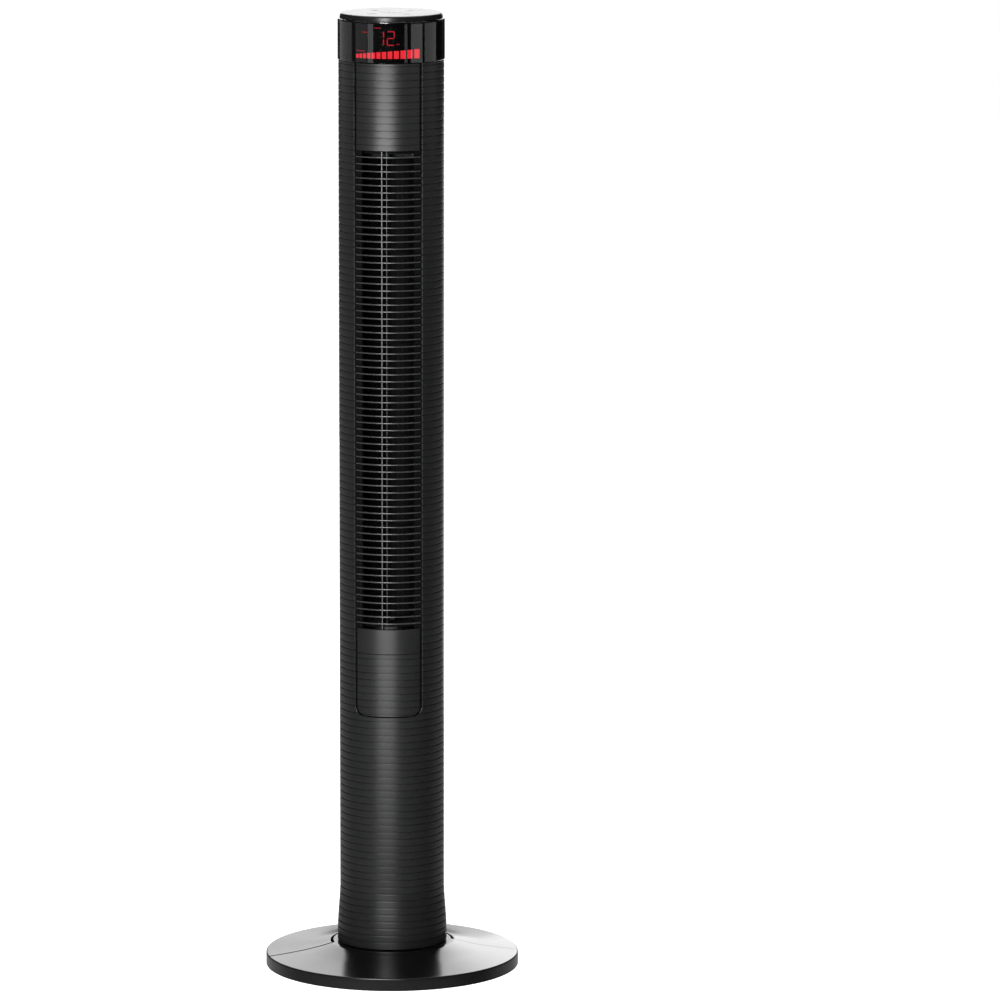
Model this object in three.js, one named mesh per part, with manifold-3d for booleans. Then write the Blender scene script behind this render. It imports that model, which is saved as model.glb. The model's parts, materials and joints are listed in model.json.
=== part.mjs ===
// Oscillating tower fan: a ribbed cylindrical tower on a round two-part base.
// Millimetres, +Z up, origin at the centre of the footprint, front towards -Y.
import * as THREE from "three";
import { mergeVertices } from "three/addons/utils/BufferGeometryUtils.js";
import Module from "manifold-3d";

const wasm = await Module();
wasm.setup();

// ---- Driving dimensions ----
const GAP = 0.3; // clearance between pieces that touch
const HEIGHT = 1180; // floor to the top of the keys
const BASE_R = 156;
const BASE_FLOOR = 1.5; // height of the base shell's lower edge
const BASE_RIM = 15.7; // height of the base's outer rim
const PLATEAU_R = 79; // raised centre of the base
const PLATEAU_Z = 29.4;
const KNEE_R = 104; // where the base's slope steepens towards the plateau
const KNEE_Z = 23.3;
const BASE_WALL = 3;
const SEAM_DEG = 14.5; // direction of the seam between the base halves
const SEAM_GAP = 0.8;
const CENTRE_DISC_R = 73.5;
const ARC_GAP = 2.7;
const FAR = 1200; // reaches past the whole fan, for cutting solids

const TOWER_R = 64.2;
const TOWER_WALL = 2.4;
const TOWER_BOTTOM = 30.8;
const SHELL_TOP = 1122.8;
const FLARE_R = 67.4;

const PANEL_HALF_DEG = 38.6; // half the angle that the front panel spans
const PANEL_GAP = 1.2; // shadow gap round the front panel
const PANEL_R = 63.6;
const PANEL_BOTTOM = 321.6;
const PANEL_CORNER_R = 13.5;
const OUTLET_BOTTOM = 430.2;
const OUTLET_TOP = 1016.8;
const BADGE_BOTTOM = 399.4;

const RUNG_COUNT = 68;
const RUNG_PITCH = 8.534;
const FIRST_RUNG_Z = 437.3;
const RUNG_HEIGHT = 1.7;
const WIRE_DEGS = [0, -5.3]; // upright wires of the outlet grille, from the front centre

const LENS_R = 65.2;
const LENS_BOTTOM = 1123.2;
const LENS_TOP = 1173;
const CAP_R = 62.2;
const CAP_TOP = HEIGHT - 0.6;
const KEY_TRAVEL = 1;

const WHEEL_Y = 6; // the blower wheel sits a little behind the tower's axis
const WHEEL_R = 38;
const WHEEL_BOTTOM = 442;
const WHEEL_TOP = 1004;
const BLADE_COUNT = 16;
const SHAFT_R = 4;

const GEAR_MODULE = 1.25;
const SECTOR_TEETH = 60; // teeth that the sector would have as a full circle
const PINION_TEETH = 12;
const GEAR_CENTRES = (GEAR_MODULE * (SECTOR_TEETH + PINION_TEETH)) / 2;
const GEAR_Z = 53;
const PIVOT_R = 19.5;

const FRONT = -90; // direction of the front, in degrees from +X
const REAR = 90;

// ---- Materials ----
const material = (color, roughness, metalness = 0) =>
  new THREE.MeshStandardMaterial({ color, roughness, metalness });
const SATIN = material(0x26272a, 0.42);
const GLOSS = material(0x18191b, 0.18);
const GRILLE = material(0x4a4b4e, 0.35, 0.3);
const DARK = material(0x131315, 0.6);
const LENS = new THREE.MeshStandardMaterial({
  color: 0x17171a, roughness: 0.08, transparent: true, opacity: 0.6,
});
const RED = material(0xd02530, 0.4);
const RUBBER = material(0x1b1b1b, 0.9);
const STEEL = material(0x9a9da1, 0.35, 1);
const ZINC = material(0xb7babd, 0.4, 1);
const POM = material(0xe6e4dc, 0.45);
const BOARD = material(0x1f5a34, 0.6);

// ---- Solid helpers ----
const rad = THREE.MathUtils.degToRad;

function solid(geometry) {
  const bare = new THREE.BufferGeometry();
  bare.setAttribute("position", geometry.getAttribute("position").clone());
  if (geometry.index) bare.setIndex(geometry.index.clone());
  const merged = mergeVertices(bare, 1e-4);
  return new wasm.Manifold(
    new wasm.Mesh({
      numProp: 3,
      vertProperties: new Float32Array(merged.getAttribute("position").array),
      triVerts: new Uint32Array(merged.index.array),
    })
  );
}

function geometryOf(shape) {
  const mesh = shape.getMesh();
  const geometry = new THREE.BufferGeometry();
  geometry.setAttribute("position", new THREE.BufferAttribute(mesh.vertProperties, 3));
  geometry.setIndex(new THREE.BufferAttribute(mesh.triVerts, 1));
  geometry.computeVertexNormals();
  return geometry;
}

const unite = (shapes) => shapes.reduce((whole, shape) => whole.add(shape));

function box(x0, x1, y0, y1, z0, z1) {
  const geometry = new THREE.BoxGeometry(x1 - x0, y1 - y0, z1 - z0);
  return solid(geometry.translate((x0 + x1) / 2, (y0 + y1) / 2, (z0 + z1) / 2));
}

// An upright solid of revolution from [radius, height] points.
function turned(profile, segments = 48) {
  const points = profile.map(([r, z]) => new THREE.Vector2(r, z));
  const geometry = new THREE.LatheGeometry(points, segments).rotateX(Math.PI / 2);
  const shape = solid(geometry);
  if (shape.volume() > 0) return shape;
  return solid(new THREE.LatheGeometry(points.reverse(), segments).rotateX(Math.PI / 2));
}

function cylinder(r, z0, z1, segments = 16, x = 0, y = 0) {
  const geometry = new THREE.CylinderGeometry(r, r, z1 - z0, segments);
  return solid(geometry.rotateX(Math.PI / 2).translate(x, y, (z0 + z1) / 2));
}

// A cylinder that lies along Y.
function rod(r, y0, y1, x, z, segments = 10) {
  const geometry = new THREE.CylinderGeometry(r, r, y1 - y0, segments);
  return solid(geometry.translate(x, (y0 + y1) / 2, z));
}

function ring(outer, inner, z0, z1, segments = 32) {
  return turned([[inner, z0], [outer, z0], [outer, z1], [inner, z1], [inner, z0]], segments);
}

function prism(points, z0, z1) {
  const outline = new THREE.Shape(points.map(([x, y]) => new THREE.Vector2(x, y)));
  const geometry = new THREE.ExtrudeGeometry(outline, { depth: z1 - z0, bevelEnabled: false });
  return solid(geometry.translate(0, 0, z0));
}

const polar = (r, deg, x = 0, y = 0) => [x + r * Math.cos(rad(deg)), y + r * Math.sin(rad(deg))];

function arcPoints(r, deg0, deg1, steps) {
  return Array.from({ length: steps + 1 }, (_, i) => polar(r, deg0 + ((deg1 - deg0) * i) / steps));
}

// A curved plate between two radii, centred on a direction.
function arcBand(outer, inner, z0, z1, centreDeg, halfDeg, steps = 8) {
  const from = centreDeg - halfDeg;
  const to = centreDeg + halfDeg;
  return prism([...arcPoints(outer, from, to, steps), ...arcPoints(inner, to, from, steps)], z0, z1);
}

// A rectangle in X and Z with rounded corners, extruded along Y.
function windowBlock(halfWidth, z0, z1, lowerR, upperR, y0, y1) {
  const outline = new THREE.Shape();
  outline.moveTo(-halfWidth, z0 + lowerR);
  outline.absarc(-halfWidth + lowerR, z0 + lowerR, lowerR, Math.PI, 1.5 * Math.PI);
  outline.absarc(halfWidth - lowerR, z0 + lowerR, lowerR, -0.5 * Math.PI, 0);
  if (upperR > 0) {
    outline.absarc(halfWidth - upperR, z1 - upperR, upperR, 0, 0.5 * Math.PI);
    outline.absarc(-halfWidth + upperR, z1 - upperR, upperR, 0.5 * Math.PI, Math.PI);
  } else {
    outline.lineTo(halfWidth, z1);
    outline.lineTo(-halfWidth, z1);
  }
  const depth = y1 - y0;
  const geometry = new THREE.ExtrudeGeometry(outline, { depth, bevelEnabled: false, curveSegments: 4 });
  return solid(geometry.rotateX(Math.PI / 2).translate(0, y1, 0));
}

const fan = new THREE.Group();

function place(name, shape, look) {
  const mesh = new THREE.Mesh(geometryOf(shape), look);
  mesh.name = name;
  fan.add(mesh);
}

// ---- Base ----
const PAD_RING_R = 134;
const BASE_SCREW_RING_R = 104;
const BASE_SCREW_DEGS = [-120, -30, 60, 150];
const BOSS_R = 5;
const BOSS_TOP = 22;
const SCREW_HOLE_DEPTH = 17;
const PLATE_Z = 3.3;
const PLATE_THICK = 2;
const PLATE_INNER_R = 28;
const PAD_COUNT = 6;
const PAD_R = 9;
const EDGE_WALL = 2.6; // wall of the base's upright edge

function baseHalves() {
  const bore = PIVOT_R + GAP;
  const lip = BASE_R - EDGE_WALL;
  const skin = turned([
    [bore, PLATEAU_Z], [PLATEAU_R - 6, PLATEAU_Z], [PLATEAU_R, PLATEAU_Z - 0.3],
    [KNEE_R, KNEE_Z], [BASE_R - 1.4, BASE_RIM], [BASE_R, BASE_RIM - 1], [BASE_R, BASE_FLOOR],
    [lip, BASE_FLOOR], [lip, BASE_RIM - BASE_WALL], [KNEE_R, KNEE_Z - BASE_WALL],
    [PLATEAU_R - 1, PLATEAU_Z - BASE_WALL], [bore, PLATEAU_Z - BASE_WALL], [bore, PLATEAU_Z],
  ], 60);
  const stiffener = ring(CENTRE_DISC_R, CENTRE_DISC_R - 2, 12, PLATEAU_Z - 1);
  const bosses = BASE_SCREW_DEGS.map((deg) => {
    const [x, y] = polar(BASE_SCREW_RING_R, deg);
    const boss = cylinder(BOSS_R, PLATE_Z + PLATE_THICK + GAP, BOSS_TOP, 12, x, y);
    return boss.subtract(cylinder(2.3, 0, SCREW_HOLE_DEPTH, 8, x, y));
  });
  const turn = (shape) => solid(geometryOf(shape).rotateZ(rad(SEAM_DEG)));
  const frontSide = turn(box(-FAR, FAR, -FAR, -SEAM_GAP / 2, 0, FAR));
  const rearSide = turn(box(-FAR, FAR, SEAM_GAP / 2, FAR, 0, FAR));
  const frontCut = frontSide.add(cylinder(CENTRE_DISC_R, 0, FAR, 72));
  const front = unite([skin, stiffener]).intersect(frontCut);
  const rear = skin.intersect(rearSide).subtract(cylinder(CENTRE_DISC_R + ARC_GAP, 0, FAR, 72));
  const inFront = bosses.slice(0, 2);
  const behind = bosses.slice(2);
  place("base_front_half", unite([front, ...inFront]), GLOSS);
  place("base_rear_half", unite([rear, ...behind]), GLOSS);
}

function baseUnderside() {
  let plate = ring(BASE_R - 8, PLATE_INNER_R, PLATE_Z, PLATE_Z + PLATE_THICK, 40);
  BASE_SCREW_DEGS.forEach((deg, i) => {
    const [x, y] = polar(BASE_SCREW_RING_R, deg);
    plate = plate.subtract(cylinder(2.4, 0, 10, 8, x, y));
    const head = cylinder(4, PLATE_Z - GAP - 1.6, PLATE_Z - GAP, 12, x, y);
    const shank = cylinder(2, PLATE_Z - 1, SCREW_HOLE_DEPTH - 1, 8, x, y);
    place(`base_screw_${i + 1}`, head.add(shank), ZINC);
  });
  place("base_plate", plate, STEEL);
  for (let i = 0; i < PAD_COUNT; i += 1) {
    const [x, y] = polar(PAD_RING_R, (360 / PAD_COUNT) * (i + 0.5));
    place(`foot_pad_${i + 1}`, cylinder(PAD_R, 0, PLATE_Z - GAP, 16, x, y), RUBBER);
  }
}

// ---- Pivot and oscillation drive ----

// Outline of a spur gear, or of part of one, with slim straight-flanked teeth.
function gearOutline(teeth, from, to, phase) {
  const pitchR = (GEAR_MODULE * teeth) / 2;
  const step = 360 / teeth;
  const tipR = pitchR + 0.8 * GEAR_MODULE;
  const rootR = pitchR - 1.25 * GEAR_MODULE;
  const rootHalf = step * 0.26;
  const tipHalf = step * 0.1;
  const points = [];
  for (let i = from; i < to; i += 1) {
    const centre = phase + i * step;
    points.push(polar(rootR, centre - rootHalf), polar(tipR, centre - tipHalf));
    points.push(polar(tipR, centre + tipHalf), polar(rootR, centre + rootHalf));
  }
  return points;
}

const PIVOT_TOP = 66;
const PIVOT_BORE_R = 14; // wires pass up through the pivot
const FLANGE_R = 34;
const GEAR_THICK = 5;
const GLIDE_TOP = 32.7;

function pivot() {
  const flangeTop = PLATEAU_Z - BASE_WALL - GAP;
  const flangeBottom = flangeTop - 3;
  place("pivot_column", turned([
    [PIVOT_BORE_R, flangeBottom], [FLANGE_R, flangeBottom], [FLANGE_R, flangeTop], [PIVOT_R, flangeTop],
    [PIVOT_R, PIVOT_TOP], [PIVOT_BORE_R, PIVOT_TOP], [PIVOT_BORE_R, flangeBottom],
  ], 24), DARK);
  place("glide_ring", ring(48, 40, PLATEAU_Z + GAP, GLIDE_TOP), POM);
  // The tooth gap at the rear centre faces the pinion's tooth.
  const step = 360 / SECTOR_TEETH;
  const teeth = gearOutline(SECTOR_TEETH, -8, 8, REAR + step / 2);
  const sector = prism([...teeth, [0, 0]], GEAR_Z, GEAR_Z + GEAR_THICK);
  const gear = sector.add(cylinder(28, GEAR_Z, GEAR_Z + GEAR_THICK, 24))
    .subtract(cylinder(PIVOT_R + GAP, 0, FAR, 24));
  place("fixed_gear_sector", gear, POM);
  place("retaining_ring", ring(27, PIVOT_R + GAP, GEAR_Z + GEAR_THICK + GAP, PIVOT_TOP - 4, 24), STEEL);
}

const TURNTABLE_TOP = 37;
const HUB_TOP = 50;
const BRIDGE_TOP = 69.4;
const SWING_MOTOR = { r: 25, y: 32, top: 86 };
const SPINDLE_R = 2;
const SPINDLE_TOP = 75;

function turntable() {
  const inner = TOWER_R - TOWER_WALL - GAP;
  const bore = PIVOT_R + 0.5;
  const plate = ring(inner, bore, GLIDE_TOP + GAP, TURNTABLE_TOP, 40);
  const hub = ring(26, bore, TURNTABLE_TOP - 1, HUB_TOP, 24);
  const wireSlot = box(-7, 7, 50, 70, 20, 45);
  place("turntable", plate.add(hub).subtract(wireSlot), SATIN);
  const legs = [-1, 1].map((side) =>
    box(side * 33 - 3, side * 33 + 3, 40, 48, TURNTABLE_TOP + GAP, BRIDGE_TOP - 1));
  const bridge = box(-36, 36, 31, 50, BRIDGE_TOP - 2.8, BRIDGE_TOP)
    .subtract(cylinder(5, 0, FAR, 16, 0, GEAR_CENTRES));
  place("oscillation_bracket", unite([bridge, ...legs]), STEEL);
  const { r, y, top } = SWING_MOTOR;
  const socket = cylinder(SPINDLE_R + 0.4, 0, SPINDLE_TOP + 1, 12, 0, GEAR_CENTRES);
  place("oscillation_motor", cylinder(r, BRIDGE_TOP + GAP, top, 32, 0, y).subtract(socket), ZINC);
}

function pinion() {
  const outline = gearOutline(PINION_TEETH, 0, PINION_TEETH, -90);
  const teeth = prism(outline, GEAR_Z - 0.5, GEAR_Z + GEAR_THICK + 1);
  const spindle = cylinder(SPINDLE_R, GEAR_Z, SPINDLE_TOP, 10);
  const geometry = geometryOf(teeth.add(spindle)).translate(0, GEAR_CENTRES, 0);
  place("oscillation_pinion", solid(geometry), POM);
}

// ---- Tower shells ----
const INTAKE_HALF_WIDTH = 50.6;
const INTAKE_BOTTOM = 424;
const INTAKE_TOP = 1023;
const INTAKE_SLATS = 13;
const INTAKE_SLAT_DEG = 8;
const INTAKE_HOOPS = 6;
const INTAKE_CORNER_R = 12;
const HANDLE = { halfWidth: 32, bottom: 1046, top: 1092, depth: 22, cornerR: 10, wall: 2 };
const GLAND_Z = 100;
const GLAND_R = 8;
const CORD_BORE_R = 3.6;
const SHELL_SCREW_X = 46;
const SHELL_SCREW_ZS = [112, 1034];
const SHELL_SCREW_SEAT_Y = 32;
const BOARD_POST_X = 30;
const BOARD_POST_ZS = [135, 215];
const BOARD_Y = 20;

function towerTube() {
  const inner = TOWER_R - TOWER_WALL;
  return turned([
    [inner, TOWER_BOTTOM], [FLARE_R - 0.4, TOWER_BOTTOM], [FLARE_R, TOWER_BOTTOM + 2], [FLARE_R, 43],
    [66.6, 49], [65.2, 56], [TOWER_R, 64], [TOWER_R, SHELL_TOP], [inner, SHELL_TOP], [inner, TOWER_BOTTOM],
  ], 60);
}

function screwPlaces() {
  return SHELL_SCREW_ZS.flatMap((z) => [-1, 1].map((side) => [side * SHELL_SCREW_X, z]));
}

function frontShell(tube) {
  const half = tube.subtract(box(-FAR, FAR, -GAP / 2, FAR, 0, FAR));
  const halfWidth = TOWER_R * Math.sin(rad(PANEL_HALF_DEG)) + PANEL_GAP;
  const low = PANEL_BOTTOM - PANEL_GAP;
  const opening = windowBlock(halfWidth, low, FAR, PANEL_CORNER_R, 0, -FAR, -20);
  const within = cylinder(TOWER_R - 1, 0, FAR, 72);
  const bosses = screwPlaces().map(([x, z]) =>
    rod(5.4, -46, 8, x, z).intersect(within).subtract(rod(2, -30, 10, x, z, 12)));
  place("front_shell", unite([half.subtract(opening), ...bosses]), SATIN);
}

function rearShell(tube) {
  const within = cylinder(TOWER_R - 1, 0, FAR, 72);
  let shell = tube.subtract(box(-FAR, FAR, -FAR, GAP / 2, 0, FAR));
  const bosses = screwPlaces().map(([x, z]) => rod(6.5, 9, 60, x, z).intersect(within));
  const posts = BOARD_POST_ZS.flatMap((z) => [-1, 1].map((side) =>
    rod(3, BOARD_Y + 1.6 + GAP, 60, side * BOARD_POST_X, z, 10).intersect(within)));
  shell = unite([shell, ...bosses, ...posts]);
  const { halfWidth, bottom, top, cornerR } = HANDLE;
  const intake = windowBlock(
    INTAKE_HALF_WIDTH, INTAKE_BOTTOM, INTAKE_TOP, INTAKE_CORNER_R, INTAKE_CORNER_R, 20, FAR);
  const recess = windowBlock(halfWidth + GAP, bottom - GAP, top + GAP, cornerR, cornerR, 20, FAR);
  shell = shell.subtract(intake).subtract(recess);
  shell = shell.subtract(rod(GLAND_R + GAP, 40, FAR, 0, GLAND_Z, 20));
  screwPlaces().forEach(([x, z]) => {
    const tunnel = rod(4.3, SHELL_SCREW_SEAT_Y, FAR, x, z);
    shell = shell.subtract(tunnel).subtract(rod(2.3, 0, SHELL_SCREW_SEAT_Y + 1, x, z, 12));
  });
  place("rear_shell", shell, SATIN);
  screwPlaces().forEach(([x, z], i) => {
    const head = rod(3.7, SHELL_SCREW_SEAT_Y + GAP, SHELL_SCREW_SEAT_Y + 2.6, x, z);
    place(`shell_screw_${i + 1}`, head.add(rod(1.7, -12, SHELL_SCREW_SEAT_Y + 1, x, z, 12)), ZINC);
  });
}

function cordGland() {
  const collar = rod(GLAND_R + 3, TOWER_R + 0.8, TOWER_R + 3.8, 0, GLAND_Z, 20);
  const body = rod(GLAND_R, TOWER_R - 8.2, TOWER_R + 1.8, 0, GLAND_Z, 20);
  const bore = rod(CORD_BORE_R, 0, FAR, 0, GLAND_Z, 16);
  place("cord_gland", collar.add(body).subtract(bore), RUBBER);
}

// A cup sunk into the rear shell, with a finger lip below its upper edge.
function carryHandle() {
  const { halfWidth, bottom, top, depth, cornerR, wall } = HANDLE;
  const floorY = TOWER_R - depth;
  const outer = windowBlock(halfWidth, bottom, top, cornerR, cornerR, floorY, FAR);
  const innerR = cornerR - wall;
  const hollow = windowBlock(
    halfWidth - wall, bottom + wall, top - wall, innerR, innerR, floorY + wall, FAR);
  const lip = box(-halfWidth + 1, halfWidth - 1, floorY + 8, FAR, top - 3, top - 1);
  const cup = outer.subtract(hollow).add(lip.intersect(outer));
  place("carry_handle_cup", cup.intersect(cylinder(TOWER_R, 0, FAR, 60)), DARK);
}

// ---- Front panel and outlet grille ----
const PANEL_TOP = 1122.4;
const PANEL_WALL = 2.6;
const RAIL_R = 60.4; // outer face of the sunk rails that tie the panel together
const RAIL_INNER_R = 57;
const RAIL_HALF_DEG = 2.2;
const BADGE_HALF_DEG = 37.4;
const BADGE_THICK = 1.6;
const GRILLE_HALF_DEG = 37.6;
const GRILLE_DEPTH = 2.4;

function frontPanel() {
  const band = (z0, z1, outer, inner) => arcBand(outer, inner, z0, z1, FRONT, PANEL_HALF_DEG, 10);
  const skinInner = PANEL_R - PANEL_WALL;
  const upper = band(OUTLET_TOP, PANEL_TOP, PANEL_R, skinInner);
  const lower = band(PANEL_BOTTOM, BADGE_BOTTOM - GAP, PANEL_R, skinInner);
  const seatR = PANEL_R - BADGE_THICK - GAP;
  const badgeSeat = band(BADGE_BOTTOM - 2, OUTLET_BOTTOM, seatR, seatR - 1.9);
  const ties = [
    band(OUTLET_TOP, OUTLET_TOP + 8, PANEL_R - 1, RAIL_INNER_R),
    band(OUTLET_BOTTOM - 8.2, OUTLET_BOTTOM - 0.2, PANEL_R - 2, RAIL_INNER_R),
  ];
  const railDeg = PANEL_HALF_DEG - RAIL_HALF_DEG;
  const rails = [-1, 1].map((side) => arcBand(
    RAIL_R, RAIL_INNER_R, OUTLET_BOTTOM - 5, OUTLET_TOP + 5, FRONT + side * railDeg, RAIL_HALF_DEG, 2));
  const halfWidth = TOWER_R * Math.sin(rad(PANEL_HALF_DEG));
  const outline = windowBlock(halfWidth, PANEL_BOTTOM, FAR, PANEL_CORNER_R - 1, 0, -FAR, -20);
  const panel = unite([upper, lower, badgeSeat, ...ties, ...rails]).intersect(outline);
  place("front_panel", panel, SATIN);
  const badge = arcBand(
    PANEL_R, PANEL_R - BADGE_THICK, BADGE_BOTTOM, OUTLET_BOTTOM - GAP, FRONT, BADGE_HALF_DEG, 10);
  place("badge_plate", badge, SATIN);
}

function outletGrille() {
  const low = OUTLET_BOTTOM + GAP;
  const high = OUTLET_TOP - GAP;
  const rungInner = PANEL_R - GRILLE_DEPTH;
  const wires = WIRE_DEGS.map((deg) =>
    arcBand(PANEL_R - 1.4, rungInner + 0.2, low, high, FRONT + deg, 0.75, 1));
  let grille = unite(wires);
  for (let i = 0; i < RUNG_COUNT; i += 1) {
    const z = FIRST_RUNG_Z + i * RUNG_PITCH;
    const half = RUNG_HEIGHT / 2;
    const rung = arcBand(PANEL_R, rungInner, z - half, z + half, FRONT, GRILLE_HALF_DEG, 3);
    grille = grille.add(rung);
  }
  place("outlet_grille", grille, GRILLE);
}

function intakeGrille() {
  const low = INTAKE_BOTTOM + GAP;
  const high = INTAKE_TOP - GAP;
  const inner = PANEL_R - PANEL_WALL;
  const frames = [[low, low + 6], [high - 6, high]].map(([z0, z1]) =>
    arcBand(PANEL_R, inner, z0, z1, REAR, 51, 6));
  const slats = Array.from({ length: INTAKE_SLATS }, (_, i) => {
    const deg = REAR + (i - (INTAKE_SLATS - 1) / 2) * INTAKE_SLAT_DEG;
    return arcBand(PANEL_R, inner, low, high, deg, 1.1, 1);
  });
  const hoops = Array.from({ length: INTAKE_HOOPS }, (_, i) => {
    const z = low + ((high - low) * (i + 1)) / (INTAKE_HOOPS + 1);
    return arcBand(PANEL_R - 1.2, inner - 0.6, z - 1.5, z + 1.5, REAR, 50, 6);
  });
  const cornerR = INTAKE_CORNER_R - GAP;
  const outline = windowBlock(INTAKE_HALF_WIDTH - GAP, low, high, cornerR, cornerR, 20, FAR);
  place("intake_grille", unite([...frames, ...slats, ...hoops]).intersect(outline), SATIN);
}

// ---- Air duct and blower ----
const DUCT_BOTTOM = 434.6;
const DUCT_TOP = 1011.4;
const DUCT_WALL = 1.8;
const DUCT_MOUTH = [31, -45]; // half-width and Y of the duct's outlet

function ductWalls() {
  const steps = 10;
  const spiral = (extra) => Array.from({ length: steps + 1 }, (_, i) => {
    const t = i / steps;
    return polar(WHEEL_R + 3 + 6.5 * t + extra, 130 + 85 * t, 0, WHEEL_Y);
  });
  const [mouthX, mouthY] = DUCT_MOUTH;
  const mouth = [[-mouthX, mouthY], [-mouthX - DUCT_WALL, mouthY]];
  const scroll = [...spiral(0), ...mouth, ...spiral(DUCT_WALL).reverse()];
  place("duct_scroll_wall", prism(scroll, DUCT_BOTTOM, DUCT_TOP), DARK);
  const cutoff = [
    [mouthX, mouthY], [29.5, -25.5], [37, -14], [45, 14],
    [46.8, 13.4], [39, -16], [32, -26.4], [mouthX + 2, mouthY],
  ];
  place("duct_cutoff_wall", prism(cutoff.reverse(), DUCT_BOTTOM, DUCT_TOP), DARK);
}

const MOUNT_R = 56; // the blower's mounting plates reach the shells' inner face
const MOUNT_THICK = 2.9;
const BUSH_R = 12;
const STUB_R = 3;
const MOTOR = { bottom: 360, shoulder: 404, canR: 40, neckR: 30, boreR: 24 };

function blowerMounts() {
  const shiftY = (shape) => solid(geometryOf(shape).translate(0, WHEEL_Y, 0));
  const within = cylinder(MOUNT_R, 0, FAR, 40);
  const plateZ = DUCT_TOP + GAP;
  const upper = ring(MOUNT_R, BUSH_R + GAP, plateZ, DUCT_TOP + 3);
  const cup = ring(BUSH_R + 2, BUSH_R + GAP, plateZ, DUCT_TOP + 14, 20);
  place("bearing_bracket", shiftY(upper.add(cup)).intersect(within), DARK);
  const bush = ring(BUSH_R - 0.1, STUB_R + GAP, plateZ + GAP, DUCT_TOP + BUSH_R, 20);
  place("upper_bush", shiftY(bush), RUBBER);
  const { bottom, shoulder, canR, neckR, boreR } = MOTOR;
  const bracketTop = DUCT_BOTTOM - GAP;
  const bracketBottom = bracketTop - MOUNT_THICK;
  const lower = ring(MOUNT_R, boreR, bracketBottom, bracketTop);
  place("motor_bracket", shiftY(lower).intersect(within), DARK);
  const damperBottom = bracketBottom - 3;
  place("motor_damper_ring", shiftY(ring(neckR, boreR, damperBottom, bracketBottom - GAP, 24)), RUBBER);
  const can = cylinder(canR, bottom, shoulder, 32)
    .add(cylinder(neckR, shoulder - 1, damperBottom - GAP, 24))
    .subtract(cylinder(SHAFT_R + GAP, 0, FAR, 12));
  const lugs = [0, 120, 240].map((deg) => {
    const [x, y] = polar(canR + 3, deg);
    return cylinder(5, bottom + 16, bottom + 22, 12, x, y);
  });
  place("blower_motor", shiftY(unite([can, ...lugs])), ZINC);
}

function blowerWheel() {
  const inner = WHEEL_R - 7;
  const bend = 14; // how far a blade's outer edge leads its inner edge, in degrees
  const spread = 1.66; // a blade's thickness, in degrees
  const blade = (deg) => prism([
    polar(inner, deg), polar(WHEEL_R, deg + bend),
    polar(WHEEL_R, deg + bend + spread), polar(inner, deg + spread),
  ], WHEEL_BOTTOM, WHEEL_TOP);
  const blades = Array.from({ length: BLADE_COUNT }, (_, i) => blade((360 / BLADE_COUNT) * i));
  const middle = (WHEEL_BOTTOM + WHEEL_TOP) / 2 - 1;
  const middleRing = ring(WHEEL_R, inner - 1, middle, middle + 2);
  const lowDisc = ring(WHEEL_R, SHAFT_R + GAP, WHEEL_BOTTOM - 1, WHEEL_BOTTOM + 1);
  const hub = ring(10, SHAFT_R + GAP, WHEEL_BOTTOM - 6, WHEEL_BOTTOM + 14, 16);
  const highDisc = cylinder(WHEEL_R, WHEEL_TOP - 1, WHEEL_TOP + 1, 32);
  const stub = cylinder(STUB_R, WHEEL_TOP, DUCT_TOP + 10, 12);
  const wheel = unite([middleRing, lowDisc, hub, highDisc, stub, ...blades]);
  place("blower_wheel", solid(geometryOf(wheel).translate(0, WHEEL_Y, 0)), DARK);
  const shaft = cylinder(SHAFT_R, MOTOR.bottom + 2, WHEEL_BOTTOM + 22, 12, 0, WHEEL_Y);
  place("motor_shaft", shaft, STEEL);
}

// ---- Electronics in the lower body ----
function powerBoard() {
  const [lowPost, highPost] = BOARD_POST_ZS;
  const root = BOARD_Y + 0.5; // the parts' feet end inside the board
  const board = box(-36, 36, BOARD_Y, BOARD_Y + 1.6, lowPost - 9, highPost + 9);
  const transformer = box(-16, 16, BOARD_Y - 22, root, lowPost + 5, lowPost + 33);
  const capacitor = rod(9, BOARD_Y - 26, root, 20, highPost - 19, 20);
  const relays = [-26, -8].map((x) => box(x, x + 13, BOARD_Y - 14, root, highPost - 29, highPost - 9));
  place("power_board", unite([board, transformer, capacitor, ...relays]), BOARD);
}

// ---- Head: display, keys and cap ----
const DRUM_R = 60.8;
const POWER_KEY_R = 12;
const SMALL_KEY_R = 5;
const SMALL_KEY_RING_R = 30;
const SMALL_KEYS = ["speed_key", "timer_key", "mode_key", "swing_key"];
const CAP_UNDERSIDE = CAP_TOP - 3;
const STEM_BOTTOM = CAP_UNDERSIDE - 8; // lower end of a key's stem
const HEAD_FLOOR = 1118;
const LENS_INNER_R = 63;
const GUIDE_R = 62.6;
const GUIDE_HALF_DEG = 35.2;

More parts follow.
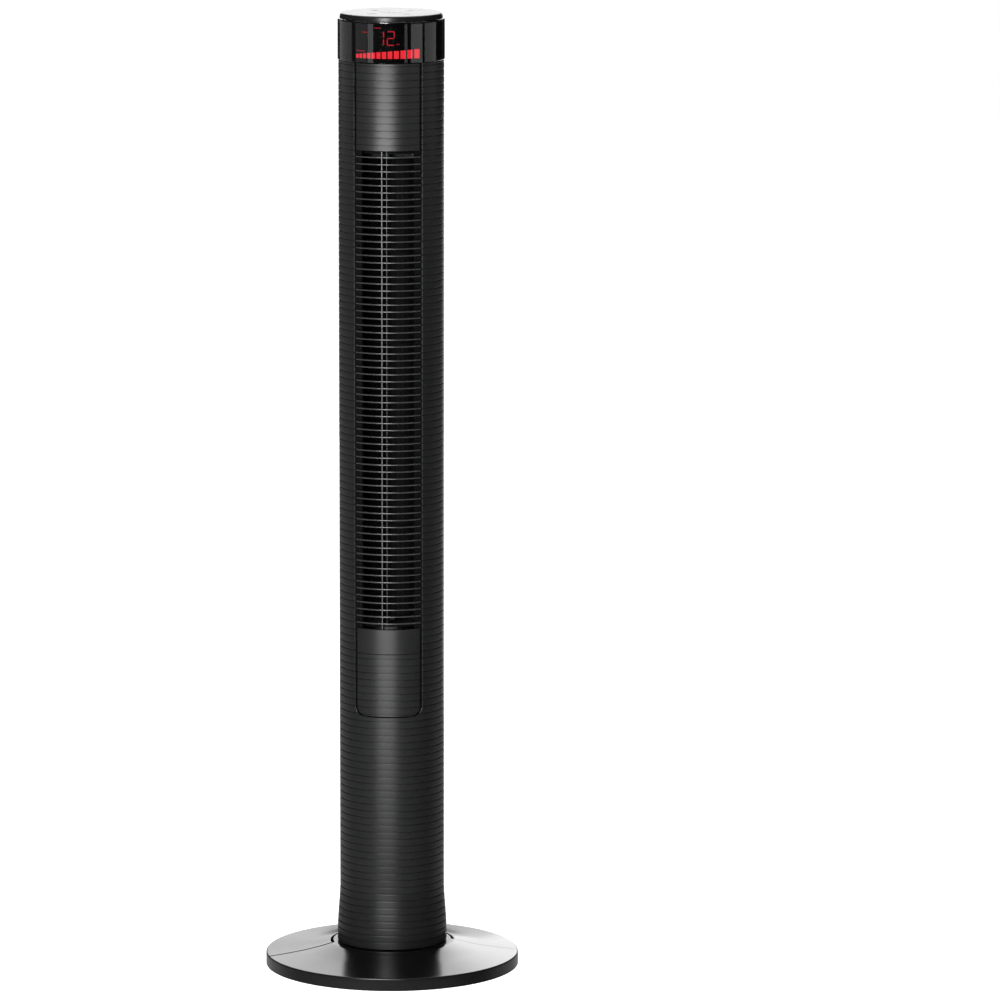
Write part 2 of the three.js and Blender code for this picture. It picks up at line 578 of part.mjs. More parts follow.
function displayHead() {
  const lens = turned([
    [LENS_INNER_R, LENS_BOTTOM], [LENS_R, LENS_BOTTOM], [LENS_R, LENS_TOP - 1],
    [LENS_R - 1, LENS_TOP], [LENS_INNER_R, LENS_TOP], [LENS_INNER_R, LENS_BOTTOM],
  ], 64);
  place("display_lens", lens, LENS);
  const drumTop = LENS_TOP - 2;
  const drumInner = DRUM_R - 2;
  const drum = turned([
    [20, HEAD_FLOOR], [DRUM_R - 0.2, HEAD_FLOOR], [DRUM_R, HEAD_FLOOR + 6], [DRUM_R, drumTop],
    [drumInner, drumTop], [drumInner, HEAD_FLOOR + 3], [20, HEAD_FLOOR + 3], [20, HEAD_FLOOR],
  ], 48);
  const low = HEAD_FLOOR + 9;
  const high = drumTop - 3;
  const window = box(-37, 37, -70, -40, low, high);
  const posts = [-1, 1].map((side) =>
    box(side * 34 - 3, side * 34 + 3, -41, -37, HEAD_FLOOR + 2.5, high - 2));
  place("head_frame", unite([drum.subtract(window), ...posts]), DARK);
  const guide = arcBand(GUIDE_R, GUIDE_R - 2.2, low + 0.6, high - 0.6, FRONT, GUIDE_HALF_DEG, 10);
  place("display_light_guide", guide, RED);
  place("display_board", box(-34, 34, -46, -44.4, low + 1, high - 1), BOARD);
}

function keyPlaces() {
  return SMALL_KEYS.map((name, i) => [name, ...polar(SMALL_KEY_RING_R, 45 + 90 * i)]);
}

function topCap() {
  let cap = turned([
    [0, CAP_UNDERSIDE], [CAP_R - 2.4, CAP_UNDERSIDE], [CAP_R - 2.4, LENS_TOP + GAP],
    [CAP_R, LENS_TOP + GAP], [CAP_R, CAP_TOP - 1], [CAP_R - 1, CAP_TOP], [0, CAP_TOP],
  ], 40);
  cap = cap.subtract(cylinder(POWER_KEY_R + GAP, 0, FAR, 24));
  keyPlaces().forEach(([, x, y]) => {
    cap = cap.subtract(cylinder(SMALL_KEY_R + GAP, 0, FAR, 12, x, y));
  });
  place("top_cap", cap, SATIN);
}

function key(name, r, x, y, sides) {
  const cap = cylinder(r, CAP_UNDERSIDE - 2, HEIGHT, sides, x, y);
  const flange = cylinder(r + 1.2, CAP_UNDERSIDE - 2.2, CAP_UNDERSIDE - GAP, sides, x, y);
  const stem = cylinder(2, STEM_BOTTOM, CAP_UNDERSIDE - 2, 8, x, y);
  place(name, unite([cap, flange, stem]), SATIN);
}

function keysAndBoard() {
  const switchTop = STEM_BOTTOM - KEY_TRAVEL - GAP;
  const board = cylinder(44, switchTop - 5.1, switchTop - 3.5, 24);
  const spots = [[0, 0], ...keyPlaces().map(([, x, y]) => [x, y])];
  const switches = spots.map(([x, y]) => box(x - 3, x + 3, y - 3, y + 3, switchTop - 4, switchTop));
  place("control_board", unite([board, ...switches]), BOARD);
  key("power_key", POWER_KEY_R, 0, 0, 24);
  keyPlaces().forEach(([name, x, y]) => key(name, SMALL_KEY_R, x, y, 12));
}

// ---- Assembly ----
baseHalves();
baseUnderside();
pivot();
turntable();
pinion();
const tube = towerTube();
frontShell(tube);
rearShell(tube);
cordGland();
carryHandle();
frontPanel();
outletGrille();
intakeGrille();
ductWalls();
blowerMounts();
blowerWheel();
powerBoard();
displayHead();
topCap();
keysAndBoard();

export default fan;
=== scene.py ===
"""Looks of the tower fan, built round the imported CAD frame.

Metres in the row frame: +Z up, the air outlet towards -Y, the origin at the centre of the footprint.
Lengths that are easier to read in millimetres are written as a number times MM.
"""
import json
import math

import bpy
import numpy as np
from mathutils import Matrix, Vector


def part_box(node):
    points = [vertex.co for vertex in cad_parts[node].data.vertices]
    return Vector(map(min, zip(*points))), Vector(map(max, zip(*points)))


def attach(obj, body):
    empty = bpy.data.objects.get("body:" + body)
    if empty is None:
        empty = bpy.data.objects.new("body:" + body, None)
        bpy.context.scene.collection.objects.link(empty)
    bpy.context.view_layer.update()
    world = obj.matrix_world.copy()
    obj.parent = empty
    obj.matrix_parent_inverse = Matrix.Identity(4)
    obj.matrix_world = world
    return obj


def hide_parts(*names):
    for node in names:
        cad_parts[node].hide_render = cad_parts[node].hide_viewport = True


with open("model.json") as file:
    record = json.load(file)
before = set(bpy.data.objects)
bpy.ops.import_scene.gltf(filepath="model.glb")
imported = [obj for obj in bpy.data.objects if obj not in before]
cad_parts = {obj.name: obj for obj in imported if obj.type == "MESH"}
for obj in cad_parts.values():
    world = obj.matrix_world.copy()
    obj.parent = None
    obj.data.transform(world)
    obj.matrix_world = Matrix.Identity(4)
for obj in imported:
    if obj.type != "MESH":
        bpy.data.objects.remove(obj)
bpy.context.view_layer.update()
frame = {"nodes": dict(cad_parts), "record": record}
record = frame["record"]

MM = 0.001
BODY_OF = {node: body for body, nodes in record["behaviour"]["bodies"].items() for node in nodes}
SLOT_OF = {part["node"]: part["material_slot"] for part in record["subparts"]}


def low(node):
    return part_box(node)[0]


def high(node):
    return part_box(node)[1]


# ---- Sizes, from the frame where a node's box gives them ----
GAP = 0.3 * MM
FRONT = -90
REAR = 90

TOWER_R = high("carry_handle_cup").y
WALL = 2.4 * MM
OPEN_TOP = 1300 * MM
TOWER_BOTTOM = low("front_shell").z
SHELL_TOP = high("front_shell").z
FLARE_R = high("front_shell").x
FLARE_LOW = 43 * MM
FLARE_HIGH = 104 * MM

PANEL_R = -low("badge_plate").y
PANEL_WALL = 2.6 * MM
PANEL_BOTTOM = low("front_panel").z
PANEL_TOP = high("front_panel").z
PANEL_HALF_DEG = 37.2
PANEL_CORNER = 12.5 * MM
WINDOW_HALF_DEG = 40
WINDOW_BOTTOM = PANEL_BOTTOM - 0.7 * MM
WINDOW_CORNER = 13.5 * MM
OUTLET_BOTTOM = high("badge_plate").z + GAP
OUTLET_TOP = high("outlet_grille").z + GAP
BADGE_BOTTOM = low("badge_plate").z

RUNG_COUNT = 68
RUNG_PITCH = 8.534 * MM
FIRST_RUNG_Z = 437.3 * MM
# Upright wires that carry the rungs: the direction in degrees from the front, the radius in millimetres.
WIRES = ((-6.3, 0.8), (-0.8, 0.3))
RUNGS = [FIRST_RUNG_Z + i * RUNG_PITCH for i in range(RUNG_COUNT)]
LOWER_GROOVES = [(39.6 + 8.626 * i) * MM for i in range(46)]
UPPER_GROOVES = [1016.7 * MM] + [(1024.3 + 8.68 * i) * MM for i in range(12)]
GROOVES = LOWER_GROOVES + RUNGS + UPPER_GROOVES
# A groove's section from its lower side up: the height from its middle and the depth, in millimetres.
GROOVE_SECTION = ((-1.3, 0), (-0.6, 0.13), (-0.4, 0.8), (0.4, 0.8), (0.55, 0.12), (0.8, 0))

INTAKE_BOTTOM = low("intake_grille").z
INTAKE_TOP = high("intake_grille").z
INTAKE_HALF_DEG = 51.5
INTAKE_CORNER = 12 * MM
HANDLE_LOW, HANDLE_HIGH = low("carry_handle_cup"), high("carry_handle_cup")

WHEEL_Y = 6 * MM
WHEEL_R = high("blower_wheel").x
WHEEL_BOTTOM = 442 * MM
WHEEL_TOP = 1004 * MM
DUCT_BOTTOM = low("duct_scroll_wall").z
DUCT_TOP = high("duct_scroll_wall").z

DISC_R = 73 * MM
REAR_HALF_INNER_R = 76.4 * MM
LEFT_SEAM_DEG = 197
RIGHT_SEAM_DEG = 4.5
SEAM_HALF_GAP = 0.4 * MM
BASE_COLUMNS = 91

LENS_BOTTOM = low("display_lens").z
LENS_TOP = high("display_lens").z
LENS_R = high("display_lens").x
LENS_INNER_R = 63 * MM
DRUM_R = 60.8 * MM
CAP_TOP = high("top_cap").z
POWER_KEY_R = 12 * MM
SMALL_KEY_R = 5 * MM


# ---- Mesh helpers: each solid is (points, faces) ----
def joined(solids):
    points, faces, start = [], [], 0
    for solid_points, solid_faces in solids:
        points.append(np.asarray(solid_points, float))
        faces += [tuple(i + start for i in face) for face in solid_faces]
        start += len(solid_points)
    return np.concatenate(points), faces


def moved(solid, matrix):
    points, faces = solid
    return [matrix @ Vector(p) for p in points], faces


def spin(radii, heights, degrees):
    """Points at every height (rows) and direction (columns)."""
    radii, heights, turn = np.broadcast_arrays(radii, heights, np.radians(degrees))
    return np.stack([radii * np.cos(turn), radii * np.sin(turn), heights], axis=-1)


def grid_solid(outer, inner, keep=None, wrap=False):
    """A closed skin between two grids of points, walled round every part that keep leaves out."""
    rows, cols = outer.shape[:2]
    spans = cols if wrap else cols - 1
    if keep is None:
        keep = np.ones((rows - 1, spans), bool)
    far = rows * cols

    def kept(r, c):
        c = c % spans if wrap else c
        return 0 <= r < rows - 1 and 0 <= c < spans and keep[r, c]

    faces = []
    for r, c in np.argwhere(keep):
        a, b = r * cols + c, r * cols + (c + 1) % cols
        d, e = b + cols, a + cols
        faces += [(a, b, d, e), (far + e, far + d, far + b, far + a)]
        if not kept(r - 1, c):
            faces.append((b, a, far + a, far + b))
        if not kept(r + 1, c):
            faces.append((e, d, far + d, far + e))
        if not kept(r, c - 1):
            faces.append((a, e, far + e, far + a))
        if not kept(r, c + 1):
            faces.append((d, b, far + b, far + d))
    points = np.concatenate([outer.reshape(-1, 3), inner.reshape(-1, 3)])
    used, new_index = np.unique(np.array(faces), return_inverse=True)
    return points[used], [tuple(face) for face in new_index.reshape(-1, 4)]


def lathed(profile, segments=96, start=0, sweep=360):
    """Turns a closed outline of (radius, height) round Z, all the way or as an arc with flat ends."""
    closed = sweep == 360
    steps = segments if closed else segments + 1
    turn = np.radians(start + sweep * np.arange(steps) / segments)
    profile = np.asarray(profile, float)
    count = len(profile)
    points = np.stack([np.outer(np.cos(turn), profile[:, 0]), np.outer(np.sin(turn), profile[:, 0]),
                       np.broadcast_to(profile[:, 1], (steps, count))], axis=-1).reshape(-1, 3)
    faces = []
    for s in range(segments):
        a, b = s * count, ((s + 1) % steps) * count
        for i in range(count):
            j = (i + 1) % count
            faces.append((a + i, b + i, b + j, a + j))
    if not closed:
        faces.append(tuple(range(count)))
        faces.append(tuple(reversed(range(segments * count, steps * count))))
    return points, faces


def prism(outline, z0, z1):
    """An upright solid on a counter-clockwise outline."""
    count = len(outline)
    points = [(x, y, z0) for x, y in outline] + [(x, y, z1) for x, y in outline]
    faces = [tuple(reversed(range(count))), tuple(range(count, 2 * count))]
    faces += [(i, (i + 1) % count, count + (i + 1) % count, count + i) for i in range(count)]
    return points, faces


def lofted(loops):
    """A closed solid through a list of loops with equally many points, flat at both ends."""
    count = len(loops[0])
    points = [p for loop in loops for p in loop]
    faces = [tuple(reversed(range(count)))]
    for k in range(len(loops) - 1):
        a, b = k * count, (k + 1) * count
        faces += [(a + i, a + (i + 1) % count, b + (i + 1) % count, b + i) for i in range(count)]
    faces.append(tuple(range((len(loops) - 1) * count, len(loops) * count)))
    return points, faces


def rounded(corners, radius, steps=4):
    """A closed outline with its corners replaced by arcs, each no larger than its sides allow."""
    outline = []
    count = len(corners)
    for i, corner in enumerate(corners):
        here = Vector(corner)
        before = Vector(corners[i - 1]) - here
        after = Vector(corners[(i + 1) % count]) - here
        reach = min(radius, 0.45 * before.length, 0.45 * after.length)
        a, b = here + before.normalized() * reach, here + after.normalized() * reach
        for k in range(steps + 1):
            t = k / steps
            outline.append(tuple((1 - t) ** 2 * a + 2 * t * (1 - t) * here + t ** 2 * b))
    return outline


def shape(name, solid, sharp=35):
    """A mesh object from a solid, smooth except across edges sharper than the given angle."""
    points, faces = solid
    mesh = bpy.data.meshes.new(name)
    mesh.from_pydata([tuple(p) for p in points], [], faces)
    mesh.validate()
    mesh.shade_smooth()
    mesh.set_sharp_from_angle(angle=math.radians(sharp))
    piece = bpy.data.objects.new(name, mesh)
    bpy.context.scene.collection.objects.link(piece)
    return piece


def bake_modifier(piece, kind, sharp=35, **settings):
    """Adds a modifier, keeps its result as the mesh and takes the modifier away."""
    modifier = piece.modifiers.new(kind, kind)
    for key, value in settings.items():
        setattr(modifier, key, value)
    graph = bpy.context.evaluated_depsgraph_get()
    mesh = bpy.data.meshes.new_from_object(piece.evaluated_get(graph))
    piece.modifiers.clear()
    piece.data = mesh
    mesh.shade_smooth()
    mesh.set_sharp_from_angle(angle=math.radians(sharp))


def cut(piece, solid, sharp=35):
    """Takes a solid out of a piece."""
    cutter = shape("cutter", solid)
    bake_modifier(piece, "BOOLEAN", sharp, operation="DIFFERENCE", solver="MANIFOLD", object=cutter)
    bpy.data.objects.remove(cutter)


def flat_normals(piece):
    """Turns the shading normals towards the larger faces, so that small bevels don't round the flats."""
    weigh = piece.modifiers.new("weigh", "WEIGHTED_NORMAL")
    weigh.keep_sharp = True
    graph = bpy.context.evaluated_depsgraph_get()
    mesh = bpy.data.meshes.new_from_object(piece.evaluated_get(graph))
    piece.modifiers.clear()
    piece.data = mesh


def settle(piece, node, look, stands_in=True):
    """Gives a piece its material and the body of a CAD node, which it usually stands for."""
    flat_normals(piece)
    piece.data.materials.clear()
    piece.data.materials.append(look)
    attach(piece, BODY_OF[node])
    if stands_in:
        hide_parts(node)


def grooved_rows(z0, z1, extra=()):
    """Heights from z0 to z1, and how deep the ribbing's grooves are at each."""
    knots = {z0: 0, z1: 0}
    for z in GROOVES:
        if z0 + MM < z < z1 - MM:
            knots.update({z + offset * MM: depth * MM for offset, depth in GROOVE_SECTION})
    heights = sorted(knots)
    rows = sorted({*heights, *extra})
    return np.array(rows), np.interp(rows, heights, [knots[z] for z in heights])


def band(half_deg, z0, z1, outer, inner, edge=0.35 * MM, columns=32, grooved=False):
    """A curved plate across the front, round the tower's axis, with chamfers along its outer edges."""
    rim = (z0 + edge, z1 - edge)
    if grooved:
        rows, depth = grooved_rows(z0, z1, rim)
    else:
        rows = np.array([z0, rim[0], rim[1], z1])
        depth = np.zeros(4)
    depth[[0, -1]] = edge
    step = math.degrees(edge / outer)
    turn = np.linspace(-half_deg + step, half_deg - step, columns + 1)
    turn = FRONT + np.concatenate([[-half_deg], turn, [half_deg]])
    side = np.zeros(len(turn))
    side[[0, -1]] = edge
    radii = outer - np.maximum(depth[:, None], side[None, :])
    return grid_solid(spin(radii, rows[:, None], turn), spin(inner, rows[:, None], turn))


def window_outline(half, z0, z1, lower, upper, steps=7):
    """Counter-clockwise (along, up) outline of a rectangle with rounded corners."""
    outline = []
    corners = ((half, z0, lower, -90), (half, z1, upper, 0), (-half, z1, upper, 90), (-half, z0, lower, 180))
    for along, up, radius, start in corners:
        middle = (along - math.copysign(radius, along), up + (radius if up == z0 else -radius))
        for k in range(steps + 1):
            turn = math.radians(start + 90 * k / steps)
            outline.append((middle[0] + radius * math.cos(turn), middle[1] + radius * math.sin(turn)))
    return outline


def window_plug(centre, half_deg, z0, z1, lower, upper, levels):
    """A solid through the tower's wall. Each level is a radius and how far the outline grows there."""
    sign = -1 if centre == FRONT else 1
    loops = []
    for radius, growth in levels:
        outline = window_outline(math.radians(half_deg) * TOWER_R + growth, z0 - growth, z1 + growth,
                                 lower + growth, upper + growth)
        loops.append([tuple(spin(radius, z, centre + math.degrees(along / TOWER_R)))
                      for along, z in outline])
    loops.insert(0, [(x, sign * 20 * MM, z) for x, _, z in loops[0]])
    loops.append([(x, sign * 130 * MM, z) for x, _, z in loops[-1]])
    return lofted(loops)


def circle(radius, count, x=0, y=0):
    turn = np.arange(count) * 2 * math.pi / count
    return [(x + radius * math.cos(t), y + radius * math.sin(t)) for t in turn]


def rod(radius, z0, z1, x=0, y=0, sides=10, edge=0):
    """An upright rod, with chamfered ends where edge isn't 0."""
    levels = [(radius - edge, z0), (radius, z0 + edge), (radius, z1 - edge), (radius - edge, z1)]
    levels = levels if edge else [(radius, z0), (radius, z1)]
    return lofted([[(px, py, z) for px, py in circle(r, sides, x, y)] for r, z in levels])


def outward(solid, place):
    """Lays an upright solid along +Y at a place."""
    return moved(solid, Matrix.Translation(place) @ Matrix.Rotation(-math.pi / 2, 4, "X"))


# ---- Materials ----
def node(tree, kind, **sockets):
    made = tree.nodes.new(kind)
    for name, value in sockets.items():
        made.inputs[name.replace("_", " ")].default_value = value
    return made


def finish_look(name, color, rough, metal=0, grain=1600, depth=0.03, vary=0.12, mottle=0.1,
                brushed=None, **shader_sockets):
    """A surface with a moulded grain, slightly uneven gloss and slightly uneven colour."""
    look = bpy.data.materials.new(name)
    look.use_nodes = True
    look.diffuse_color = (*color, 1)
    tree = look.node_tree
    shader = tree.nodes["Principled BSDF"]
    shader.inputs["Metallic"].default_value = metal
    for socket, value in shader_sockets.items():
        shader.inputs[socket.replace("_", " ")].default_value = value
    place = tree.nodes.new("ShaderNodeTexCoord")
    stretch = node(tree, "ShaderNodeMapping", Scale=brushed or (1, 1, 1))
    tree.links.new(place.outputs["Object"], stretch.inputs["Vector"])
    cloud = node(tree, "ShaderNodeTexNoise", Scale=38, Detail=4, Roughness=0.6)
    fine = node(tree, "ShaderNodeTexNoise", Scale=grain, Detail=2, Roughness=0.5)
    for texture in (cloud, fine):
        tree.links.new(stretch.outputs["Vector"], texture.inputs["Vector"])
    tone = tree.nodes.new("ShaderNodeValToRGB")
    tone.color_ramp.elements[0].position = 0.3
    tone.color_ramp.elements[1].position = 0.7
    tone.color_ramp.elements[0].color = (*[c * (1 - mottle) for c in color], 1)
    tone.color_ramp.elements[1].color = (*[min(1, c * (1 + mottle)) for c in color], 1)
    tree.links.new(cloud.outputs["Fac"], tone.inputs["Fac"])
    tree.links.new(tone.outputs["Color"], shader.inputs["Base Color"])
    gloss = node(tree, "ShaderNodeMapRange", To_Min=rough * (1 - vary), To_Max=rough * (1 + vary))
    tree.links.new(cloud.outputs["Fac"], gloss.inputs["Value"])
    tree.links.new(gloss.outputs["Result"], shader.inputs["Roughness"])
    bump = node(tree, "ShaderNodeBump", Strength=depth, Distance=0.0004)
    tree.links.new(fine.outputs["Fac"], bump.inputs["Height"])
    tree.links.new(bump.outputs["Normal"], shader.inputs["Normal"])
    return look


def glow_look(name, color, strength):
    """A lit display segment of slightly uneven brightness."""
    look = finish_look(name, [c * 0.6 for c in color], 0.5, grain=900)
    tree = look.node_tree
    shader = tree.nodes["Principled BSDF"]
    shader.inputs["Emission Color"].default_value = (*color, 1)
    spread = node(tree, "ShaderNodeTexNoise", Scale=160, Detail=1)
    level = node(tree, "ShaderNodeMapRange", From_Min=0.3, From_Max=0.7,
                 To_Min=strength * 0.82, To_Max=strength * 1.12)
    tree.links.new(spread.outputs["Fac"], level.inputs["Value"])
    tree.links.new(level.outputs["Result"], shader.inputs["Emission Strength"])
    return look


SATIN = finish_look("satin_black_plastic", (0.006, 0.0062, 0.0066), 0.34, depth=0.05)
# The grille's black is the panel's plastic made lighter: a painted sheen that brightens the rungs, on top of
# their real gloss.
GRILLE_WITH_PAINTED_SHEEN = finish_look("grille_black_plastic", (0.024, 0.0244, 0.0252), 0.24, depth=0.03,
                     Specular_IOR_Level=0.85)
WIRE = finish_look("grille_wire", (0.16, 0.162, 0.168), 0.28, metal=1, brushed=(1, 1, 14), grain=700,
                   depth=0.04)
CAP = finish_look("cap_plastic", (0.006, 0.0061, 0.0064), 0.28, depth=0.02)
GLOSS = finish_look("gloss_black_plastic", (0.003, 0.003, 0.0032), 0.2, grain=900, depth=0.012)
KEY = finish_look("key_plastic", (0.008, 0.008, 0.0085), 0.27, depth=0.02)
MARK = finish_look("key_print", (0.5, 0.5, 0.5), 0.5, depth=0.02)
# Black for the inner and recessed parts, darker still and with its reflections turned far down: partly the
# plastic's own black, partly painted shade for the inside of the tower.
DARK_WITH_PAINTED_SHADE = finish_look("inner_black_plastic", (0.004, 0.004, 0.0042), 0.65, depth=0.05, Specular_IOR_Level=0.06)
# The wheel's black is near black and nearly without reflections: partly its own black plastic, partly
# painted shade for the wheel deep inside the tower.
WHEEL_WITH_PAINTED_SHADE = finish_look("wheel_plastic", (0.002, 0.002, 0.0021), 0.5, depth=0.04, Specular_IOR_Level=0.03)
RUBBER = finish_look("rubber", (0.012, 0.012, 0.012), 0.75, grain=2200, depth=0.25)
STEEL = finish_look("bare_steel", (0.52, 0.53, 0.55), 0.32, metal=1, brushed=(1, 1, 14), grain=700,
                    depth=0.06)
ZINC = finish_look("zinc_plate", (0.6, 0.61, 0.62), 0.36, metal=1, grain=260, vary=0.3, depth=0.04)
ACETAL = finish_look("acetal", (0.72, 0.71, 0.66), 0.4, depth=0.02, Subsurface_Weight=0.1)
BOARD = finish_look("circuit_board", (0.012, 0.085, 0.028), 0.4, grain=420, depth=0.3, mottle=0.35)
SMOKED = finish_look("smoked_lens", (0.14, 0.14, 0.145), 0.02, vary=0.3, grain=60, depth=0.002,
                     mottle=0.04, Transmission_Weight=1, IOR=1.49)
LED = glow_look("led_red", (1, 0.03, 0.045), 6.5)
LED_SOFT = glow_look("led_red_soft", (1, 0.03, 0.06), 3.2)
MASK = finish_look("display_mask", (0.003, 0.003, 0.0032), 0.3, depth=0.02)

LOOK_OF_SLOT = {
    "satin_black_shell": SATIN, "gloss_black_base": GLOSS, "key_plastic": KEY, "grille_grey": GRILLE_WITH_PAINTED_SHEEN,
    "inner_black": DARK_WITH_PAINTED_SHADE, "wheel_plastic": WHEEL_WITH_PAINTED_SHADE, "smoked_lens": SMOKED, "led_red": LED,
    "rubber": RUBBER, "bare_steel": STEEL, "zinc_plate": ZINC, "acetal": ACETAL,
    "circuit_board": BOARD,
}
for cad_name, cad_node in frame["nodes"].items():
    cad_node.data.materials.clear()
    cad_node.data.materials.append(LOOK_OF_SLOT[SLOT_OF[cad_name]])


# ---- Tower shells ----
def shell_radius(heights):
    """Outer radius of the tower, which flares a little at its foot."""
    t = np.clip((FLARE_HIGH - heights) / (FLARE_HIGH - FLARE_LOW), 0, 1)
    radius = TOWER_R + (FLARE_R - TOWER_R) * t * t * (3 - 2 * t)
    edge = 0.4 * MM
    ends = np.maximum(TOWER_BOTTOM + edge - heights, heights - SHELL_TOP + edge)
    return radius - np.clip(ends, 0, edge)


def shell_half(name, centre):
    edge = 0.35 * MM
    foot = np.arange(FLARE_LOW, FLARE_HIGH, 1.5 * MM)
    rims = (TOWER_BOTTOM + 0.4 * MM, SHELL_TOP - 0.4 * MM)
    rows, depth = grooved_rows(TOWER_BOTTOM, SHELL_TOP, (*foot, *rims))
    half = 90 - math.degrees(0.5 * GAP / TOWER_R)
    step = math.degrees(edge / TOWER_R)
    turn = np.linspace(-half + step, half - step, 60)
    turn = centre + np.concatenate([[-half], turn, [half]])
    side = np.zeros(len(turn))
    side[[0, -1]] = edge
    radii = shell_radius(rows)[:, None] - np.maximum(depth[:, None], side[None, :])
    heights = rows[:, None]
    return shape(name, grid_solid(spin(radii, heights, turn), spin(TOWER_R - WALL, heights, turn)), 28)


def seam_lips():
    """Strips inside the rear shell that close the seams between the two shells at the sides."""
    inner, lip_wall, half = TOWER_R - WALL - 0.05 * MM, 1.1 * MM, 2.2
    section = ((inner - lip_wall, TOWER_BOTTOM + 4 * MM), (inner, TOWER_BOTTOM + 4 * MM),
               (inner, SHELL_TOP - 4 * MM), (inner - lip_wall, SHELL_TOP - 4 * MM))
    return joined([lathed(section, 3, side - half, 2 * half) for side in (0, 180)])


def edge_levels(surface, chamfer):
    """Levels for a plug that leaves a chamfer of that size on the edge it cuts."""
    return ((surface - 8 * MM, 0), (surface - chamfer, 0), (surface + 0.1 * MM, chamfer + 0.1 * MM),
            (surface + 6 * MM, chamfer + 0.1 * MM))


front_shell = shell_half("front_shell_skin", FRONT)
cut(front_shell, window_plug(FRONT, WINDOW_HALF_DEG, WINDOW_BOTTOM, OPEN_TOP, WINDOW_CORNER,
                             WINDOW_CORNER, edge_levels(TOWER_R, 0.2 * MM)), 28)
settle(front_shell, "front_shell", SATIN)

rear_shell = shell_half("rear_shell_skin", REAR)
cut(rear_shell, window_plug(REAR, INTAKE_HALF_DEG + 0.5, INTAKE_BOTTOM - GAP, INTAKE_TOP + GAP,
                            INTAKE_CORNER, INTAKE_CORNER, edge_levels(TOWER_R, 0.5 * MM)), 28)
HANDLE_HALF_DEG = math.degrees(math.asin((HANDLE_HIGH.x + GAP) / TOWER_R))
cut(rear_shell, window_plug(REAR, HANDLE_HALF_DEG, HANDLE_LOW.z - GAP, HANDLE_HIGH.z + GAP,
                            10 * MM, 10 * MM, edge_levels(TOWER_R, 0.5 * MM)), 28)
GLAND_Z = (low("cord_gland").z + high("cord_gland").z) / 2
GLAND_HOLE_R = 8.3 * MM
SCREW_HOLE_R = 4.3 * MM
cut(rear_shell, outward(rod(GLAND_HOLE_R, 40 * MM, 90 * MM, sides=40), (0, 0, GLAND_Z)), 28)
SCREWS = {f"shell_screw_{i}": (low(f"shell_screw_{i}") + high(f"shell_screw_{i}")) / 2
          for i in range(1, 5)}
for centre in SCREWS.values():
    cut(rear_shell, outward(rod(SCREW_HOLE_R, 30 * MM, 90 * MM, sides=32), (centre.x, 0, centre.z)), 28)
settle(rear_shell, "rear_shell", SATIN)
settle(shape("rear_shell_seam_lips", seam_lips()), "rear_shell", DARK_WITH_PAINTED_SHADE, stands_in=False)


def screw_head(name, radius, height, z):
    """A pan head with a cross recess; it points along +Z from z."""
    profile = [(0.0001 * MM, z), (radius, z), (radius, z + 0.4 * height)]
    profile += [(radius * math.cos(t), z + height * (0.4 + 0.6 * math.sin(t)))
                for t in np.radians([20, 40, 60, 80])]
    profile += [(0.0001 * MM, z + height)]
    head = shape(name, lathed(profile, 32), 40)
    arm, half = 0.62 * radius, 0.13 * radius
    top, floor = z + 2 * height, z + 0.45 * height
    for x, y in ((arm, half), (half, arm)):
        cut(head, prism([(-x, -y), (x, -y), (x, y), (-x, y)], floor, top), 40)
    return head


TUNNEL_FLOOR = 32.3 * MM
for screw, centre in SCREWS.items():
    head = screw_head(f"{screw}_head", 3.7 * MM, 2.2 * MM, 0)
    shank = rod(1.7 * MM, -14 * MM, 0.2 * MM, sides=16, edge=0.15 * MM)
    head.data.transform(Matrix.Translation((centre.x, TUNNEL_FLOOR, centre.z))
                        @ Matrix.Rotation(-math.pi / 2, 4, "X"))
    settle(head, screw, ZINC)
    body = shape(f"{screw}_shank", outward(shank, (centre.x, TUNNEL_FLOOR, centre.z)))
    settle(body, screw, ZINC, stands_in=False)


def tunnel_sleeve(name, centre):
    """The moulded sleeve that a shell screw sits in, from its seat out to the shell's skin."""
    mouth = math.sqrt(TOWER_R ** 2 - centre.x ** 2) - 0.4 * MM
    seat = 31.2 * MM
    profile = [(1.9 * MM, seat), (5.6 * MM, seat), (5.6 * MM, mouth - 4 * MM), (4.35 * MM, mouth - 4 * MM),
               (4.35 * MM, seat + 0.9 * MM), (1.9 * MM, seat + 0.9 * MM)]
    return shape(name, outward(lathed(profile, 32), (centre.x, 0, centre.z)))


for screw, centre in SCREWS.items():
    settle(tunnel_sleeve(f"{screw}_sleeve", centre), "rear_shell", SATIN, stands_in=False)


# ---- Cord gland and carry handle ----
gland = lathed([(3.6 * MM, 56 * MM), (8 * MM, 56 * MM), (8 * MM, 64.9 * MM), (10.6 * MM, 65 * MM),
                (11 * MM, 65.4 * MM), (11 * MM, 66.8 * MM), (10.4 * MM, 67.5 * MM), (7 * MM, 68 * MM),
                (4.6 * MM, 68 * MM), (3.9 * MM, 67.6 * MM), (3.6 * MM, 66.8 * MM)], 48)
settle(shape("cord_gland_body", outward(gland, (0, 0, GLAND_Z)), 40), "cord_gland", RUBBER)


